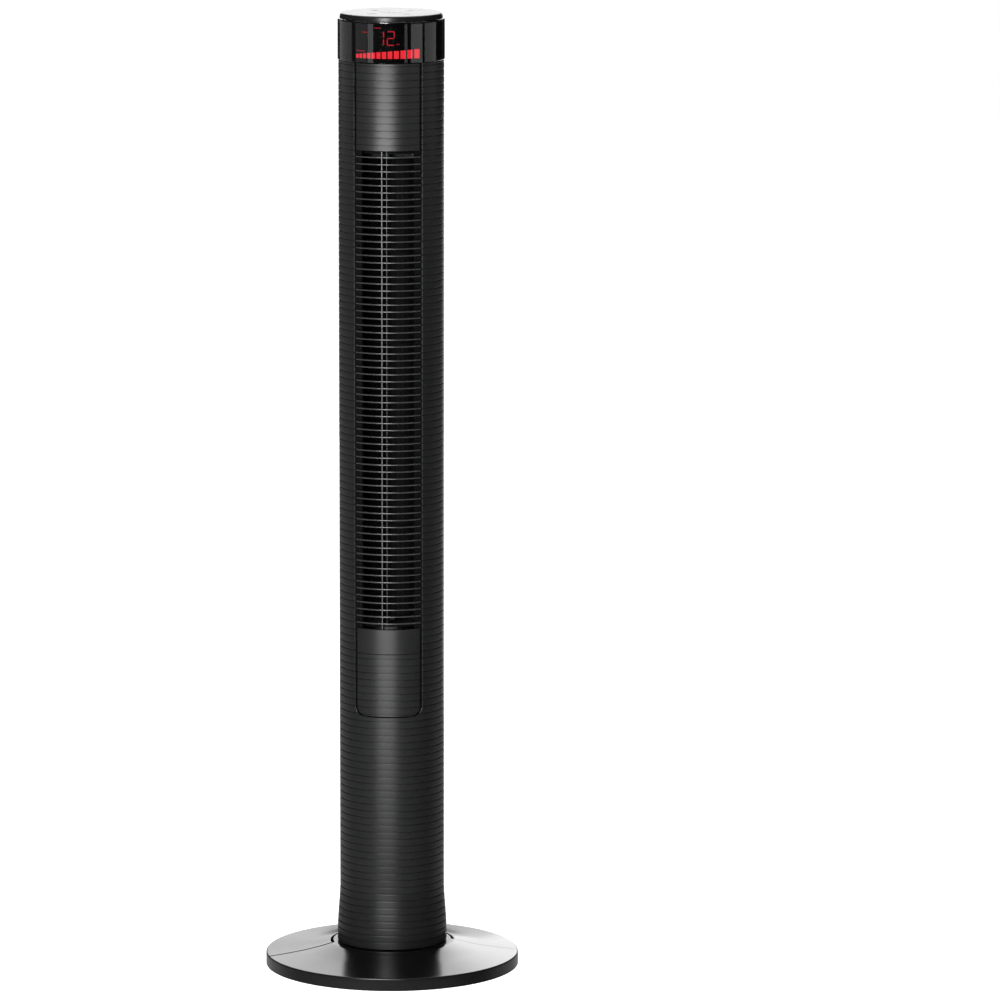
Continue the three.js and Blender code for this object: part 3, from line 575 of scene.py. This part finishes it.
def handle_cup():
    """A cup with a rounded floor, open at the back, with a rim that thickens into a finger lip."""
    half = HANDLE_HIGH.x
    z0, z1 = HANDLE_LOW.z, HANDLE_HIGH.z
    floor_y = HANDLE_LOW.y

    def ring(inset, y, radius):
        outline = window_outline(half - inset, z0 + inset, z1 - inset, radius, radius, 6)
        return [(-along, y if y else math.sqrt((TOWER_R - 0.3 * MM) ** 2 - along ** 2), z)
                for along, z in outline]

    rows = [ring(1.6 * MM, floor_y, 8.4 * MM), ring(0.4 * MM, floor_y + 1.2 * MM, 9.6 * MM),
            ring(0, floor_y + 3 * MM, 10 * MM), ring(0, 0, 10 * MM), ring(3 * MM, 0, 7 * MM)]
    lip = [[(x, y - 2.4 * MM, z) for x, y, z in ring(3.2 * MM, 0, 6.8 * MM)],
           [(x, y - 3.4 * MM, z) for x, y, z in ring(2 * MM, 0, 8 * MM)]]
    inner = [ring(2 * MM, floor_y + 6 * MM, 8 * MM), ring(2.8 * MM, floor_y + 3.2 * MM, 7.2 * MM),
             ring(5 * MM, floor_y + 2 * MM, 5 * MM)]
    return lofted(rows + lip + inner)


settle(shape("carry_handle_cup_shell", handle_cup(), 50), "carry_handle_cup", DARK_WITH_PAINTED_SHADE)


# ---- Front panel: ribbed trim, badge plate and outlet grille ----
trim = shape("front_panel_trim", band(PANEL_HALF_DEG, OUTLET_TOP, PANEL_TOP, PANEL_R,
                                      PANEL_R - PANEL_WALL, grooved=True), 28)
lower = shape("front_panel_lower", band(PANEL_HALF_DEG + 0.6, PANEL_BOTTOM - MM, BADGE_BOTTOM - GAP, PANEL_R,
                                        PANEL_R - PANEL_WALL, edge=0.3 * MM, grooved=True), 28)
lower_plug = window_plug(FRONT, PANEL_HALF_DEG, PANEL_BOTTOM, OPEN_TOP, PANEL_CORNER, PANEL_CORNER,
                         ((PANEL_R - 8 * MM, 0), (PANEL_R - 0.35 * MM, 0), (PANEL_R + 0.1 * MM, -0.45 * MM),
                          (PANEL_R + 6 * MM, -0.45 * MM)))
keeper = shape("keeper", lower_plug)
bake_modifier(lower, "BOOLEAN", 28, operation="INTERSECT", solver="MANIFOLD", object=keeper)
bpy.data.objects.remove(keeper)
settle(trim, "front_panel", SATIN)
settle(lower, "front_panel", SATIN)

RAIL_DEG = 34.8
RAIL_HALF_DEG = 2.2
FLANGE_DEG = 39.5
FLANGE_HALF_DEG = 2.4
FLANGE_SECTION = [(60.2 * MM, PANEL_BOTTOM), (61 * MM, PANEL_BOTTOM), (61 * MM, PANEL_TOP),
                  (60.2 * MM, PANEL_TOP)]
RAIL_SECTION = [(57, 425), (60.2, 425), (60.4, 425.2), (60.4, 1021.6), (60.2, 1021.8), (57, 1021.8)]
flanges = [lathed(FLANGE_SECTION, 6, FRONT + side * FLANGE_DEG - FLANGE_HALF_DEG, 2 * FLANGE_HALF_DEG)
           for side in (-1, 1)]
rails = [lathed([(r * MM, z * MM) for r, z in RAIL_SECTION], 4, FRONT + side * RAIL_DEG - RAIL_HALF_DEG,
                2 * RAIL_HALF_DEG) for side in (-1, 1)]
ties = [lathed([(57 * MM, z0), (r, z0), (r, z1), (57 * MM, z1)], 32, FRONT - PANEL_HALF_DEG,
               2 * PANEL_HALF_DEG)
        for r, z0, z1 in ((61 * MM, OUTLET_TOP, OUTLET_TOP + 8 * MM),
                          (61.6 * MM, OUTLET_BOTTOM - 8 * MM, OUTLET_BOTTOM - 0.4 * MM))]
seat = lathed([(59.8 * MM, BADGE_BOTTOM - 2 * MM), (60.9 * MM, BADGE_BOTTOM - 2 * MM),
               (61.7 * MM, BADGE_BOTTOM + MM), (61.7 * MM, OUTLET_BOTTOM - 0.4 * MM),
               (59.8 * MM, OUTLET_BOTTOM - 0.4 * MM)], 32, FRONT - PANEL_HALF_DEG, 2 * PANEL_HALF_DEG)
settle(shape("front_panel_rails", joined([*flanges, *rails, *ties, seat])), "front_panel", DARK_WITH_PAINTED_SHADE)

badge = band(PANEL_HALF_DEG - 0.1, BADGE_BOTTOM, high("badge_plate").z, PANEL_R, PANEL_R - 1.6 * MM)
settle(shape("badge_plate_blank", badge, 28), "badge_plate", SATIN)

RUNG_SECTION = [(61.5, -0.85), (63.0, -0.85), (63.4, -0.62), (63.6, -0.2), (63.6, 0.2), (63.4, 0.62),
                (63.0, 0.85), (61.5, 0.85), (61.2, 0.6), (61.2, -0.6)]
RUNG_HALF_DEG = 38.3
rungs = [lathed([(r * MM, rung + z * MM) for r, z in RUNG_SECTION], 28, FRONT - RUNG_HALF_DEG,
                2 * RUNG_HALF_DEG) for rung in RUNGS]
# The rungs take the lightened grille black, with its painted sheen.
settle(shape("outlet_grille_rungs", joined(rungs), 40), "outlet_grille", GRILLE_WITH_PAINTED_SHEEN)
wires = []
for degrees, radius in WIRES:
    x, y, _ = spin(61.8 * MM, 0, FRONT + degrees)
    wires.append(rod(radius * MM, OUTLET_BOTTOM + GAP, OUTLET_TOP - GAP, x, y, sides=16))
settle(shape("outlet_grille_wires", joined(wires), 40), "outlet_grille", WIRE, stands_in=False)


# ---- Intake grille at the back ----
def intake_plate():
    """A slotted plate: upright slats, hoops across them and a frame round them."""
    frame_height, hoop_half, slat_half, slat_count, pitch = 6 * MM, 1.5 * MM, 1.1, 13, 8
    hoops = [INTAKE_BOTTOM + (INTAKE_TOP - INTAKE_BOTTOM) * (i + 1) / 7 for i in range(6)]
    rows = [INTAKE_BOTTOM, INTAKE_BOTTOM + 0.3 * MM, INTAKE_BOTTOM + frame_height]
    for z in hoops:
        rows += [z - hoop_half, z + hoop_half]
    rows += [INTAKE_TOP - frame_height, INTAKE_TOP - 0.3 * MM, INTAKE_TOP]
    turn = [-INTAKE_HALF_DEG, -INTAKE_HALF_DEG + 0.3]
    for i in range(slat_count):
        middle = (i - (slat_count - 1) / 2) * pitch
        turn += [middle - slat_half, middle - slat_half + 0.35]
        turn += [middle + slat_half - 0.35, middle + slat_half]
    turn += [INTAKE_HALF_DEG - 0.3, INTAKE_HALF_DEG]
    rows, turn = np.array(rows), np.array(turn)
    keep = np.zeros((len(rows) - 1, len(turn) - 1), bool)
    solid_rows = {0, 1, len(rows) - 3, len(rows) - 2} | set(range(3, len(rows) - 3, 2))
    for r in solid_rows:
        keep[r] = True
    for i in range(slat_count):
        keep[:, 2 + 4 * i:5 + 4 * i] = True
    keep[:, [0, -1]] = True
    depth = np.zeros(len(turn))
    depth[2:-2:4] = depth[5:-2:4] = 0.35 * MM
    outer = spin(PANEL_R - depth[None, :], rows[:, None], REAR + turn)
    return grid_solid(outer, spin(PANEL_R - PANEL_WALL, rows[:, None], REAR + turn), keep)


intake = shape("intake_grille_slats", intake_plate(), 30)
keeper = shape("keeper", window_plug(REAR, INTAKE_HALF_DEG, INTAKE_BOTTOM, INTAKE_TOP, INTAKE_CORNER,
                                     INTAKE_CORNER, ((PANEL_R - 8 * MM, 0), (PANEL_R + 6 * MM, 0))))
bake_modifier(intake, "BOOLEAN", 30, operation="INTERSECT", solver="MANIFOLD", object=keeper)
bpy.data.objects.remove(keeper)
settle(intake, "intake_grille", SATIN)


# ---- Blower wheel and duct ----
def wheel():
    """A long cross-flow wheel: curved blades tied by thin rings, with a solid disc at each end."""
    inner, blades, sweep_deg, thick = WHEEL_R - 7 * MM, 36, 18, 0.9 * MM
    solids = []
    for i in range(blades):
        steps = np.linspace(0, 1, 6)
        radii = inner + (WHEEL_R - inner) * steps
        turn = 360 / blades * i + sweep_deg * steps ** 1.6
        spread = np.degrees(thick / radii)
        there, back = spin(radii, 0, turn), spin(radii, 0, turn + spread)
        outline = [tuple(p[:2]) for p in there] + [tuple(p[:2]) for p in back[::-1]]
        solids.append(prism(outline, WHEEL_BOTTOM, WHEEL_TOP))
    for z in np.linspace(WHEEL_BOTTOM, WHEEL_TOP, 6)[1:-1]:
        solids.append(lathed([(inner - MM, z - 0.9 * MM), (WHEEL_R - 0.2 * MM, z - 0.9 * MM),
                              (WHEEL_R - 0.2 * MM, z + 0.9 * MM), (inner - MM, z + 0.9 * MM)], 72))
    for z, bore in ((WHEEL_BOTTOM, 4.3 * MM), (WHEEL_TOP, 0.01 * MM)):
        solids.append(lathed([(bore, z - MM), (WHEEL_R - 0.4 * MM, z - MM), (WHEEL_R, z - 0.6 * MM),
                              (WHEEL_R, z + 0.6 * MM), (WHEEL_R - 0.4 * MM, z + MM), (bore, z + MM)], 72))
    solids.append(lathed([(4.3 * MM, WHEEL_BOTTOM - 6 * MM), (10 * MM, WHEEL_BOTTOM - 6 * MM),
                          (10 * MM, WHEEL_BOTTOM + 13 * MM), (4.3 * MM, WHEEL_BOTTOM + 13 * MM)], 40))
    solids.append(rod(3 * MM, WHEEL_TOP, high("blower_wheel").z, sides=24, edge=0.4 * MM))
    return moved(joined(solids), Matrix.Translation((0, WHEEL_Y, 0)))


settle(shape("blower_wheel_blades", wheel(), 35), "blower_wheel", WHEEL_WITH_PAINTED_SHADE)

DUCT_WALL = 1.8 * MM
steps = np.linspace(0, 1, 36)


def spiral(extra):
    points = spin((41 + 6.5 * steps) * MM + extra, 0, 130 + 85 * steps)
    return [(x, y + WHEEL_Y) for x, y, _ in points]


MOUTH_X, MOUTH_Y = 31 * MM, -45 * MM
scroll = [*spiral(0), (-MOUTH_X, MOUTH_Y), (-MOUTH_X - DUCT_WALL, MOUTH_Y), *reversed(spiral(DUCT_WALL))]
settle(shape("duct_scroll_skin", prism(scroll[::-1], DUCT_BOTTOM, DUCT_TOP), 25), "duct_scroll_wall", DARK_WITH_PAINTED_SHADE)
cutoff = rounded([(31, -45), (29.5, -25.5), (37, -14), (45, 14), (46.8, 13.4), (39, -16), (32, -26.4),
                  (33, -45)], 6, 5)
cutoff = [(x * MM, y * MM) for x, y in cutoff]
settle(shape("duct_cutoff_skin", prism(cutoff[::-1], DUCT_BOTTOM, DUCT_TOP), 25), "duct_cutoff_wall", DARK_WITH_PAINTED_SHADE)


# ---- Head: drum, display, lens, cap and keys ----
drum = lathed([(r * MM, z * MM) for r, z in (
    (20, 1118), (60.2, 1118), (60.6, 1118.4), (60.8, 1124), (60.8, 1170.4), (60.4, 1171), (58.8, 1171),
    (58.8, 1121), (20, 1121))], 128)
settle(shape("head_drum", drum, 30), "head_frame", DARK_WITH_PAINTED_SHADE)

MASK_R = 62.1 * MM
mask = band(39.6, 1127.7 * MM, 1167.3 * MM, MASK_R, DRUM_R + 0.1 * MM, edge=0.4 * MM, columns=40)
settle(shape("display_mask", mask, 30), "display_light_guide", MASK)


def segment(start, end, z0, z1):
    """A lit area of the display, from one direction to another across the front."""
    columns = max(2, round((end - start) / 1.5))
    turn = FRONT + np.linspace(start, end, columns + 1)
    rows = np.array([z0, z1])[:, None]
    return grid_solid(spin(MASK_R + 0.25 * MM, rows, turn), spin(MASK_R - 0.2 * MM, rows, turn))


def speed_bars():
    """Twelve bars that grow wider and taller to the right."""
    bars, start, pitch = [], -37.4, 4.5
    for i in range(12):
        top = 1128.7 * MM + (4.6 + 6.4 * (i / 11) ** 0.9) * MM
        bars.append(segment(start, start + 0.74 * pitch, 1128.7 * MM, top))
        start += pitch
        pitch *= 1.062
    return bars


def digit(lit, left, width):
    """A seven-segment digit; lit names its segments a to g."""
    base, top, stroke = 1144.5 * MM, 1162.1 * MM, 1.25 * MM
    wide = math.degrees(stroke / MASK_R)
    middle, gap = (base + top) / 2, 0.35 * MM
    right = left + width
    rows = {"a": (top - stroke, top), "g": (middle - stroke / 2, middle + stroke / 2),
            "d": (base, base + stroke)}
    sides = {"f": (left, middle, top), "b": (right - wide, middle, top), "e": (left, base, middle),
             "c": (right - wide, base, middle)}
    solids = [segment(left + wide * 0.7, right - wide * 0.7, *rows[k]) for k in lit if k in rows]
    for k in lit:
        if k in sides:
            at, z0, z1 = sides[k]
            solids.append(segment(at, at + wide, z0 + stroke / 2 + gap, z1 - stroke / 2 - gap))
    return solids


DIGIT_WIDTH_DEG = 8.8
digits = digit("bc", -12.1, DIGIT_WIDTH_DEG) + digit("abged", -0.4, DIGIT_WIDTH_DEG)
# Short dashes stand where the display's captions would be: a start, a height, a count and a pitch.
CAPTIONS = ((-29, 1159.6, 3, 2.4), (-14.5, 1165.2, 4, 2), (10.5, 1145.6, 2, 2), (-36.5, 1137, 5, 2.2))
dashes = [segment(start + pitch * i, start + pitch * (i + 0.62), z * MM, (z + 1) * MM)
          for start, z, count, pitch in CAPTIONS for i in range(count)]
settle(shape("display_bars", joined(speed_bars())), "display_light_guide", LED, stands_in=False)
settle(shape("display_digits", joined(digits + dashes)), "display_light_guide", LED_SOFT, stands_in=False)

lens_edge = 0.5 * MM
lens = lathed([(LENS_INNER_R, LENS_BOTTOM), (LENS_R - lens_edge, LENS_BOTTOM),
               (LENS_R, LENS_BOTTOM + lens_edge), (LENS_R, LENS_TOP - 2.4 * MM),
               (LENS_R - 0.4 * MM, LENS_TOP - 0.5 * MM),
               (LENS_R - 1.1 * MM, LENS_TOP), (LENS_INNER_R, LENS_TOP)], 192)
settle(shape("display_lens_ring", lens, 40), "display_lens", SMOKED)

cap = shape("top_cap_disc", lathed([(r * MM, z * MM) for r, z in (
    (0.01, 1176.4), (59.8, 1176.4), (59.8, 1173.3), (62.5, 1173.3), (62.8, 1173.6), (62.1, 1177.4),
    (61.8, 1178.2), (61.1, 1178.9), (59.9, 1179.4), (20, 1179.4), (0.01, 1179.4))], 160), 40)
KEY_DISH = 0.12 * MM
KEY_TOP = CAP_TOP + 0.1 * MM
KEY_NODES = ["power_key", "speed_key", "timer_key", "mode_key", "swing_key"]
KEY_AT = {name: (low(name) + high(name)) / 2 for name in KEY_NODES}
for name, centre in KEY_AT.items():
    radius = POWER_KEY_R if name == "power_key" else SMALL_KEY_R
    bore = radius + GAP
    edge = bore + 0.2 * MM
    levels = ((bore, 1170 * MM), (bore, CAP_TOP - 0.1 * MM), (edge, CAP_TOP + 0.1 * MM), (edge, 1190 * MM))
    cut(cap, lofted([[(x, y, z) for x, y in circle(r, 48, centre.x, centre.y)] for r, z in levels]), 40)
settle(cap, "top_cap", CAP)


def key_cap(name, radius, centre):
    """A key with a shallow dish, a rounded edge, a flange below the cap and a stem."""
    radius += 0.12 * MM
    top = KEY_TOP
    bottom = low(name).z
    rim = [(radius + 1.2 * MM, 1174.2 * MM), (radius + 1.2 * MM, 1176 * MM), (radius, 1176.1 * MM),
           (radius, top - 0.3 * MM), (radius - 0.1 * MM, top - 0.08 * MM), (radius - 0.3 * MM, top)]
    dish = [(radius * t, top - KEY_DISH * (1 - t * t)) for t in (0.85, 0.6, 0.35, 0.1)]
    stem = [(0.01 * MM, bottom), (2 * MM, bottom), (2 * MM, 1174.2 * MM)]
    profile = stem + rim + dish + [(0.01 * MM, top - KEY_DISH)]
    return shape(f"{name}_cap", moved(lathed(profile, 48), Matrix.Translation((centre.x, centre.y, 0))), 40)


def stroke(points, width, z):
    """A flat raised line through points in the plane of the keys."""
    points = [Vector(p) for p in points]
    left, right = [], []
    for i, p in enumerate(points):
        ahead = (points[min(i + 1, len(points) - 1)] - points[max(i - 1, 0)]).normalized()
        side = Vector((-ahead.y, ahead.x)) * width / 2
        left.append(tuple(p + side))
        right.append(tuple(p - side))
    return prism(right + left[::-1], z - 0.15 * MM, z + 0.05 * MM)


def arc(radius, start, end, steps=20):
    return [(radius * math.cos(t), radius * math.sin(t)) for t in np.radians(np.linspace(start, end, steps))]


def key_mark(name):
    """The strokes of a key's symbol, round its centre, in units of the key's radius."""
    if name == "power_key":
        return [arc(0.36, 125, 415, 40), [(0, 0.14), (0, 0.5)]]
    if name == "speed_key":
        return [[(-0.4, 0), (0.4, 0)], [(0, -0.4), (0, 0.4)]]
    if name == "timer_key":
        return [arc(0.42, 0, 359, 30), [(0, 0.28), (0, 0), (0.22, 0)]]
    if name == "mode_key":
        return [[(x, 0.14 * math.sin(x * 8) + shift) for x in np.linspace(-0.45, 0.45, 14)]
                for shift in (-0.2, 0.15)]
    barbs = [[(side * x, y) for x, y in ((0.45, 0.02), (0.36, 0.21), (0.16, 0.16))] for side in (-1, 1)]
    return [arc(0.42, 30, 150), *barbs]


for name, centre in KEY_AT.items():
    radius = POWER_KEY_R if name == "power_key" else SMALL_KEY_R
    settle(key_cap(name, radius, centre), name, KEY)
    width = 0.08 * radius if name == "power_key" else 0.12 * radius
    strokes = [stroke([(x * radius, y * radius) for x, y in line], width, KEY_TOP - KEY_DISH + 0.02 * MM)
               for line in key_mark(name)]
    mark = moved(joined(strokes), Matrix.Translation((centre.x, centre.y, 0)))
    settle(shape(f"{name}_mark", mark), name, MARK, stands_in=False)


# ---- Base ----
def base_profile():
    """The skin's outer line from the foot of its rim inwards, and the line of its underside."""
    rim = [(156, 0.3), (156, 8), (156, 14.1), (155.85, 14.85), (155.45, 15.4), (154.8, 15.68)]
    top = [(154, 15.8), (147, 16.6), (140, 17.4), (126, 19.15), (112, 21.25), (106, 22.3), (100, 23.45),
           (95, 24.5), (90, 25.6), (85, 26.8), (80, 28.05), (77.5, 28.7), (76.4, 29), (73, 29.3),
           (72.7, 29.4), (60, 29.4), (40, 29.4), (19.8, 29.4)]
    outer = np.array(rim + top) * MM
    under = np.array([(min(r, 153.4), min(z, 12.7) if i < len(rim) else z - 3)
                      for i, (r, z) in enumerate(rim + top)]) * MM
    return outer, under


def base_half(front):
    """One half of the base's skin; the front half includes the whole centre disc."""
    outer, under = base_profile()
    rear_sweep = LEFT_SEAM_DEG - RIGHT_SEAM_DEG
    start, sweep = (LEFT_SEAM_DEG, 360 - rear_sweep) if front else (RIGHT_SEAM_DEG, rear_sweep)
    if not front:
        keep_rows = outer[:, 0] >= REAR_HALF_INNER_R - 0.01 * MM
        outer, under = outer[keep_rows], under[keep_rows]
    radii = outer[:, :1]
    even = np.linspace(0, 1, BASE_COLUMNS)[1:-1]
    chamfer = 0.35 * MM
    drop, drop_width = (MM, 2.2 * MM) if front else (0, chamfer)

    def directions(r):
        edge = np.degrees(np.arcsin(SEAM_HALF_GAP / r))
        next_to = np.degrees(np.arcsin((SEAM_HALF_GAP + drop_width) / r))
        inside = next_to + (sweep - 2 * next_to) * even
        return start + np.concatenate([edge, next_to, inside, sweep - next_to, sweep - edge], axis=1)

    turn = directions(radii)
    own = turn.shape[1]
    if front:
        behind = start + sweep + rear_sweep * np.linspace(0, 1, BASE_COLUMNS + 1)[1:-1]
        turn = np.concatenate([turn, np.broadcast_to(behind, (len(radii), len(behind)))], axis=1)
        lowered = np.zeros(turn.shape)
        on_top = (outer[:, 0] > DISC_R + 0.01 * MM) & (outer[:, 1] > 15 * MM)
        lowered[on_top, 0] = drop
        disc_row = np.argmin(np.abs(outer[:, 0] - DISC_R))
        lowered[disc_row, own:] = chamfer
        keep = np.ones((len(radii) - 1, turn.shape[1]), bool)
        keep[:disc_row, own - 1:] = False
    else:
        lowered = np.zeros(turn.shape)
        lowered[-1, :] = chamfer
        keep = None
    skin = spin(radii, outer[:, 1:] - lowered, turn)
    inside = spin(under[:, :1], under[:, 1:], turn)
    return grid_solid(skin, inside, keep, wrap=front)


settle(shape("base_front_skin", base_half(True), 32), "base_front_half", GLOSS)
settle(shape("base_rear_skin", base_half(False), 32), "base_rear_half", GLOSS)

plate = shape("base_plate_disc", lathed([(r * MM, z * MM) for r, z in (
    (28, 3.3), (60, 3.3), (62, 3.9), (80, 3.9), (82, 3.3), (147, 3.3), (147.8, 3.7), (148, 4.4),
    (148, 5.3), (82, 5.3), (80, 5.9), (62, 5.9), (60, 5.3), (28, 5.3))], 120), 30)
for i in range(1, 5):
    centre = (low(f"base_screw_{i}") + high(f"base_screw_{i}")) / 2
    cut(plate, rod(2.4 * MM, 0, 10 * MM, centre.x, centre.y, sides=24), 30)
settle(plate, "base_plate", STEEL)
for i in range(1, 5):
    name = f"base_screw_{i}"
    centre = (low(name) + high(name)) / 2
    head = screw_head(f"{name}_head", 4 * MM, 1.6 * MM, 0)
    head.data.transform(Matrix.Translation((centre.x, centre.y, 3 * MM)) @ Matrix.Rotation(math.pi, 4, "X"))
    settle(head, name, ZINC)
for i in range(1, 7):
    name = f"foot_pad_{i}"
    centre = (low(name) + high(name)) / 2
    pad = [(r * MM, z * MM) for r, z in (
        (0.01, 0.4), (5, 0.4), (5.4, 0), (8.4, 0), (8.9, 0.5), (9, 1.2), (9, 3), (0.01, 3))]
    settle(shape(f"{name}_disc", moved(lathed(pad, 40), Matrix.Translation((centre.x, centre.y, 0))), 40),
           name, RUBBER)


# ---- Studio ----
def softbox(name, azimuth, distance, z, width, height, radiance, aim_z=None):
    """A rectangular light that looks at the tower's axis; azimuth is from the camera, camera-left minus."""
    light = bpy.data.lights.new(name, "AREA")
    light.shape = "RECTANGLE"
    light.size, light.size_y = width, height
    light.energy = radiance * math.pi * width * height
    lamp = bpy.data.objects.new(name, light)
    bpy.context.scene.collection.objects.link(lamp)
    turn = math.radians(FRONT + CAMERA_DEG + azimuth)
    lamp.location = (distance * math.cos(turn), distance * math.sin(turn), z)
    aim = Vector((0, 0, z if aim_z is None else aim_z))
    lamp.rotation_euler = (aim - lamp.location).to_track_quat("-Z", "Y").to_euler()
    lamp.visible_camera = False


CAMERA_DEG = 4.5
CAMERA_DISTANCE = 8.150
CAMERA_HEIGHT = 1.942
CAMERA_PITCH = 9.485
CAMERA_YAW = 0.933
CAMERA_ROLL = 0.09
CAMERA_ZOOM = 6.742  # focal length over sensor width

camera_data = bpy.data.cameras.new("camera")
camera_data.sensor_width = 36
camera_data.lens = camera_data.sensor_width * CAMERA_ZOOM
camera = bpy.data.objects.new("camera", camera_data)
bpy.context.scene.collection.objects.link(camera)
camera.location = (CAMERA_DISTANCE * math.sin(math.radians(CAMERA_DEG)),
                   -CAMERA_DISTANCE * math.cos(math.radians(CAMERA_DEG)), CAMERA_HEIGHT)
heading = math.radians(CAMERA_DEG - CAMERA_YAW)
camera.matrix_world = (Matrix.Translation(camera.location) @ Matrix.Rotation(heading, 4, "Z")
                       @ Matrix.Rotation(math.radians(90 - CAMERA_PITCH), 4, "X")
                       @ Matrix.Rotation(math.radians(CAMERA_ROLL), 4, "Z"))
bpy.context.scene.camera = camera
bpy.context.scene.view_settings.view_transform = "Standard"

# The key lights, on the left, stay out of the band that the lens mirrors. Behind is the sky that the
# flat surfaces reflect.
softbox("key_high", -15, 2.4, 1.95, 0.8, 1.3, 13, aim_z=0.8)
softbox("key_front", -13.5, 1.2, 0.83, 0.78, 0.28, 10.4)
softbox("key_foot", -12, 1.2, 0.35, 0.8, 0.66, 3.7)
softbox("back_rim", 163, 1.5, 0.47, 0.5, 0.86, 1.3)
softbox("back_sky", 180, 4.2, 2.3, 2.6, 2.6, 2.4)
softbox("low_sky", 180, 4.2, 0.5, 1.3, 0.9, 1.5)
softbox("overhead", 180, 0.6, 3.2, 3, 2, 1.2, aim_z=0)

# Low cards that only the lens reflects, as its upright stripes: where each starts and ends, in degrees
# from the camera's direction, and its radiance.
STRIPES = ((-142, -92, 0.45), (-81, -52, 0.4), (-50.5, -38, 1.3), (28, 34, 0.8), (42, 69, 1.15),
           (75, 110, 0.75))
STRIPE_DISTANCE = 1.2
STRIPE_Z = 1.03
STRIPE_HEIGHT = 0.13
for start, end, radiance in STRIPES:
    width = 2 * STRIPE_DISTANCE * math.tan(math.radians(end - start) / 2)
    softbox(f"stripe_{round(start)}", (start + end) / 2, STRIPE_DISTANCE, STRIPE_Z, width, STRIPE_HEIGHT,
            radiance)

floor_width, floor_front, floor_back = 1.6, -3.2, 14
floor = shape("floor", ([(-floor_width, floor_front, 0), (floor_width, floor_front, 0),
                         (floor_width, floor_back, 0), (-floor_width, floor_back, 0)], [(0, 1, 2, 3)]))
floor.rotation_euler.z = math.radians(CAMERA_DEG)
paper = finish_look("white_paper", (0.86, 0.86, 0.86), 0.9, grain=500, mottle=0.01)
paper_shader = paper.node_tree.nodes["Principled BSDF"]
paper_shader.inputs["Emission Color"].default_value = (1, 1, 1, 1)
paper_shader.inputs["Emission Strength"].default_value = 1.06
floor.data.materials.append(paper)
floor.visible_glossy = False

# Round the fan the room is brighter on the left than on the right, darker behind and lighter low down.
world = bpy.data.worlds.new("studio")
world.use_nodes = True
bpy.context.scene.world = world
tree = world.node_tree
room, white = tree.nodes["Background"], tree.nodes.new("ShaderNodeBackground")
white.inputs["Color"].default_value = (1, 1, 1, 1)
direction = tree.nodes.new("ShaderNodeSeparateXYZ")
tree.links.new(tree.nodes.new("ShaderNodeTexCoord").outputs["Generated"], direction.inputs[0])


def ramp(axis, start, end, low_value, high_value):
    """A smooth step in one component of the direction."""
    step = node(tree, "ShaderNodeMapRange", From_Min=start, From_Max=end,
                To_Min=low_value, To_Max=high_value)
    step.interpolation_type = "SMOOTHSTEP"
    tree.links.new(direction.outputs[axis], step.inputs["Value"])
    return step.outputs["Result"]


def combined(operation, a, b):
    result = tree.nodes.new("ShaderNodeMath")
    result.operation = operation
    tree.links.new(a, result.inputs[0])
    tree.links.new(b, result.inputs[1])
    return result.outputs[0]


around = combined("MULTIPLY", ramp("X", -0.7, 0.7, 0.3, 0.12), ramp("Y", -0.1, 0.75, 1, 0.36))
sides = combined("MULTIPLY", around, ramp("Z", -0.2, -0.1, 1, 0.35))
low_back = combined("MULTIPLY", ramp("Y", 0, 0.6, 0, 0.33), ramp("Z", -0.21, -0.1, 1, 0))
low_front = combined("MULTIPLY", ramp("Y", -0.8, 0, 0.35, 0), ramp("Z", -0.25, -0.19, 1, 0))
level = combined("ADD", sides, combined("ADD", low_back, low_front))
tree.links.new(level, room.inputs["Strength"])
room.inputs["Color"].default_value = (1, 1, 1, 1)
path, choose = tree.nodes.new("ShaderNodeLightPath"), tree.nodes.new("ShaderNodeMixShader")
tree.links.new(path.outputs["Is Camera Ray"], choose.inputs[0])
tree.links.new(room.outputs[0], choose.inputs[1])
tree.links.new(white.outputs[0], choose.inputs[2])
tree.links.new(choose.outputs[0], tree.nodes["World Output"].inputs["Surface"])
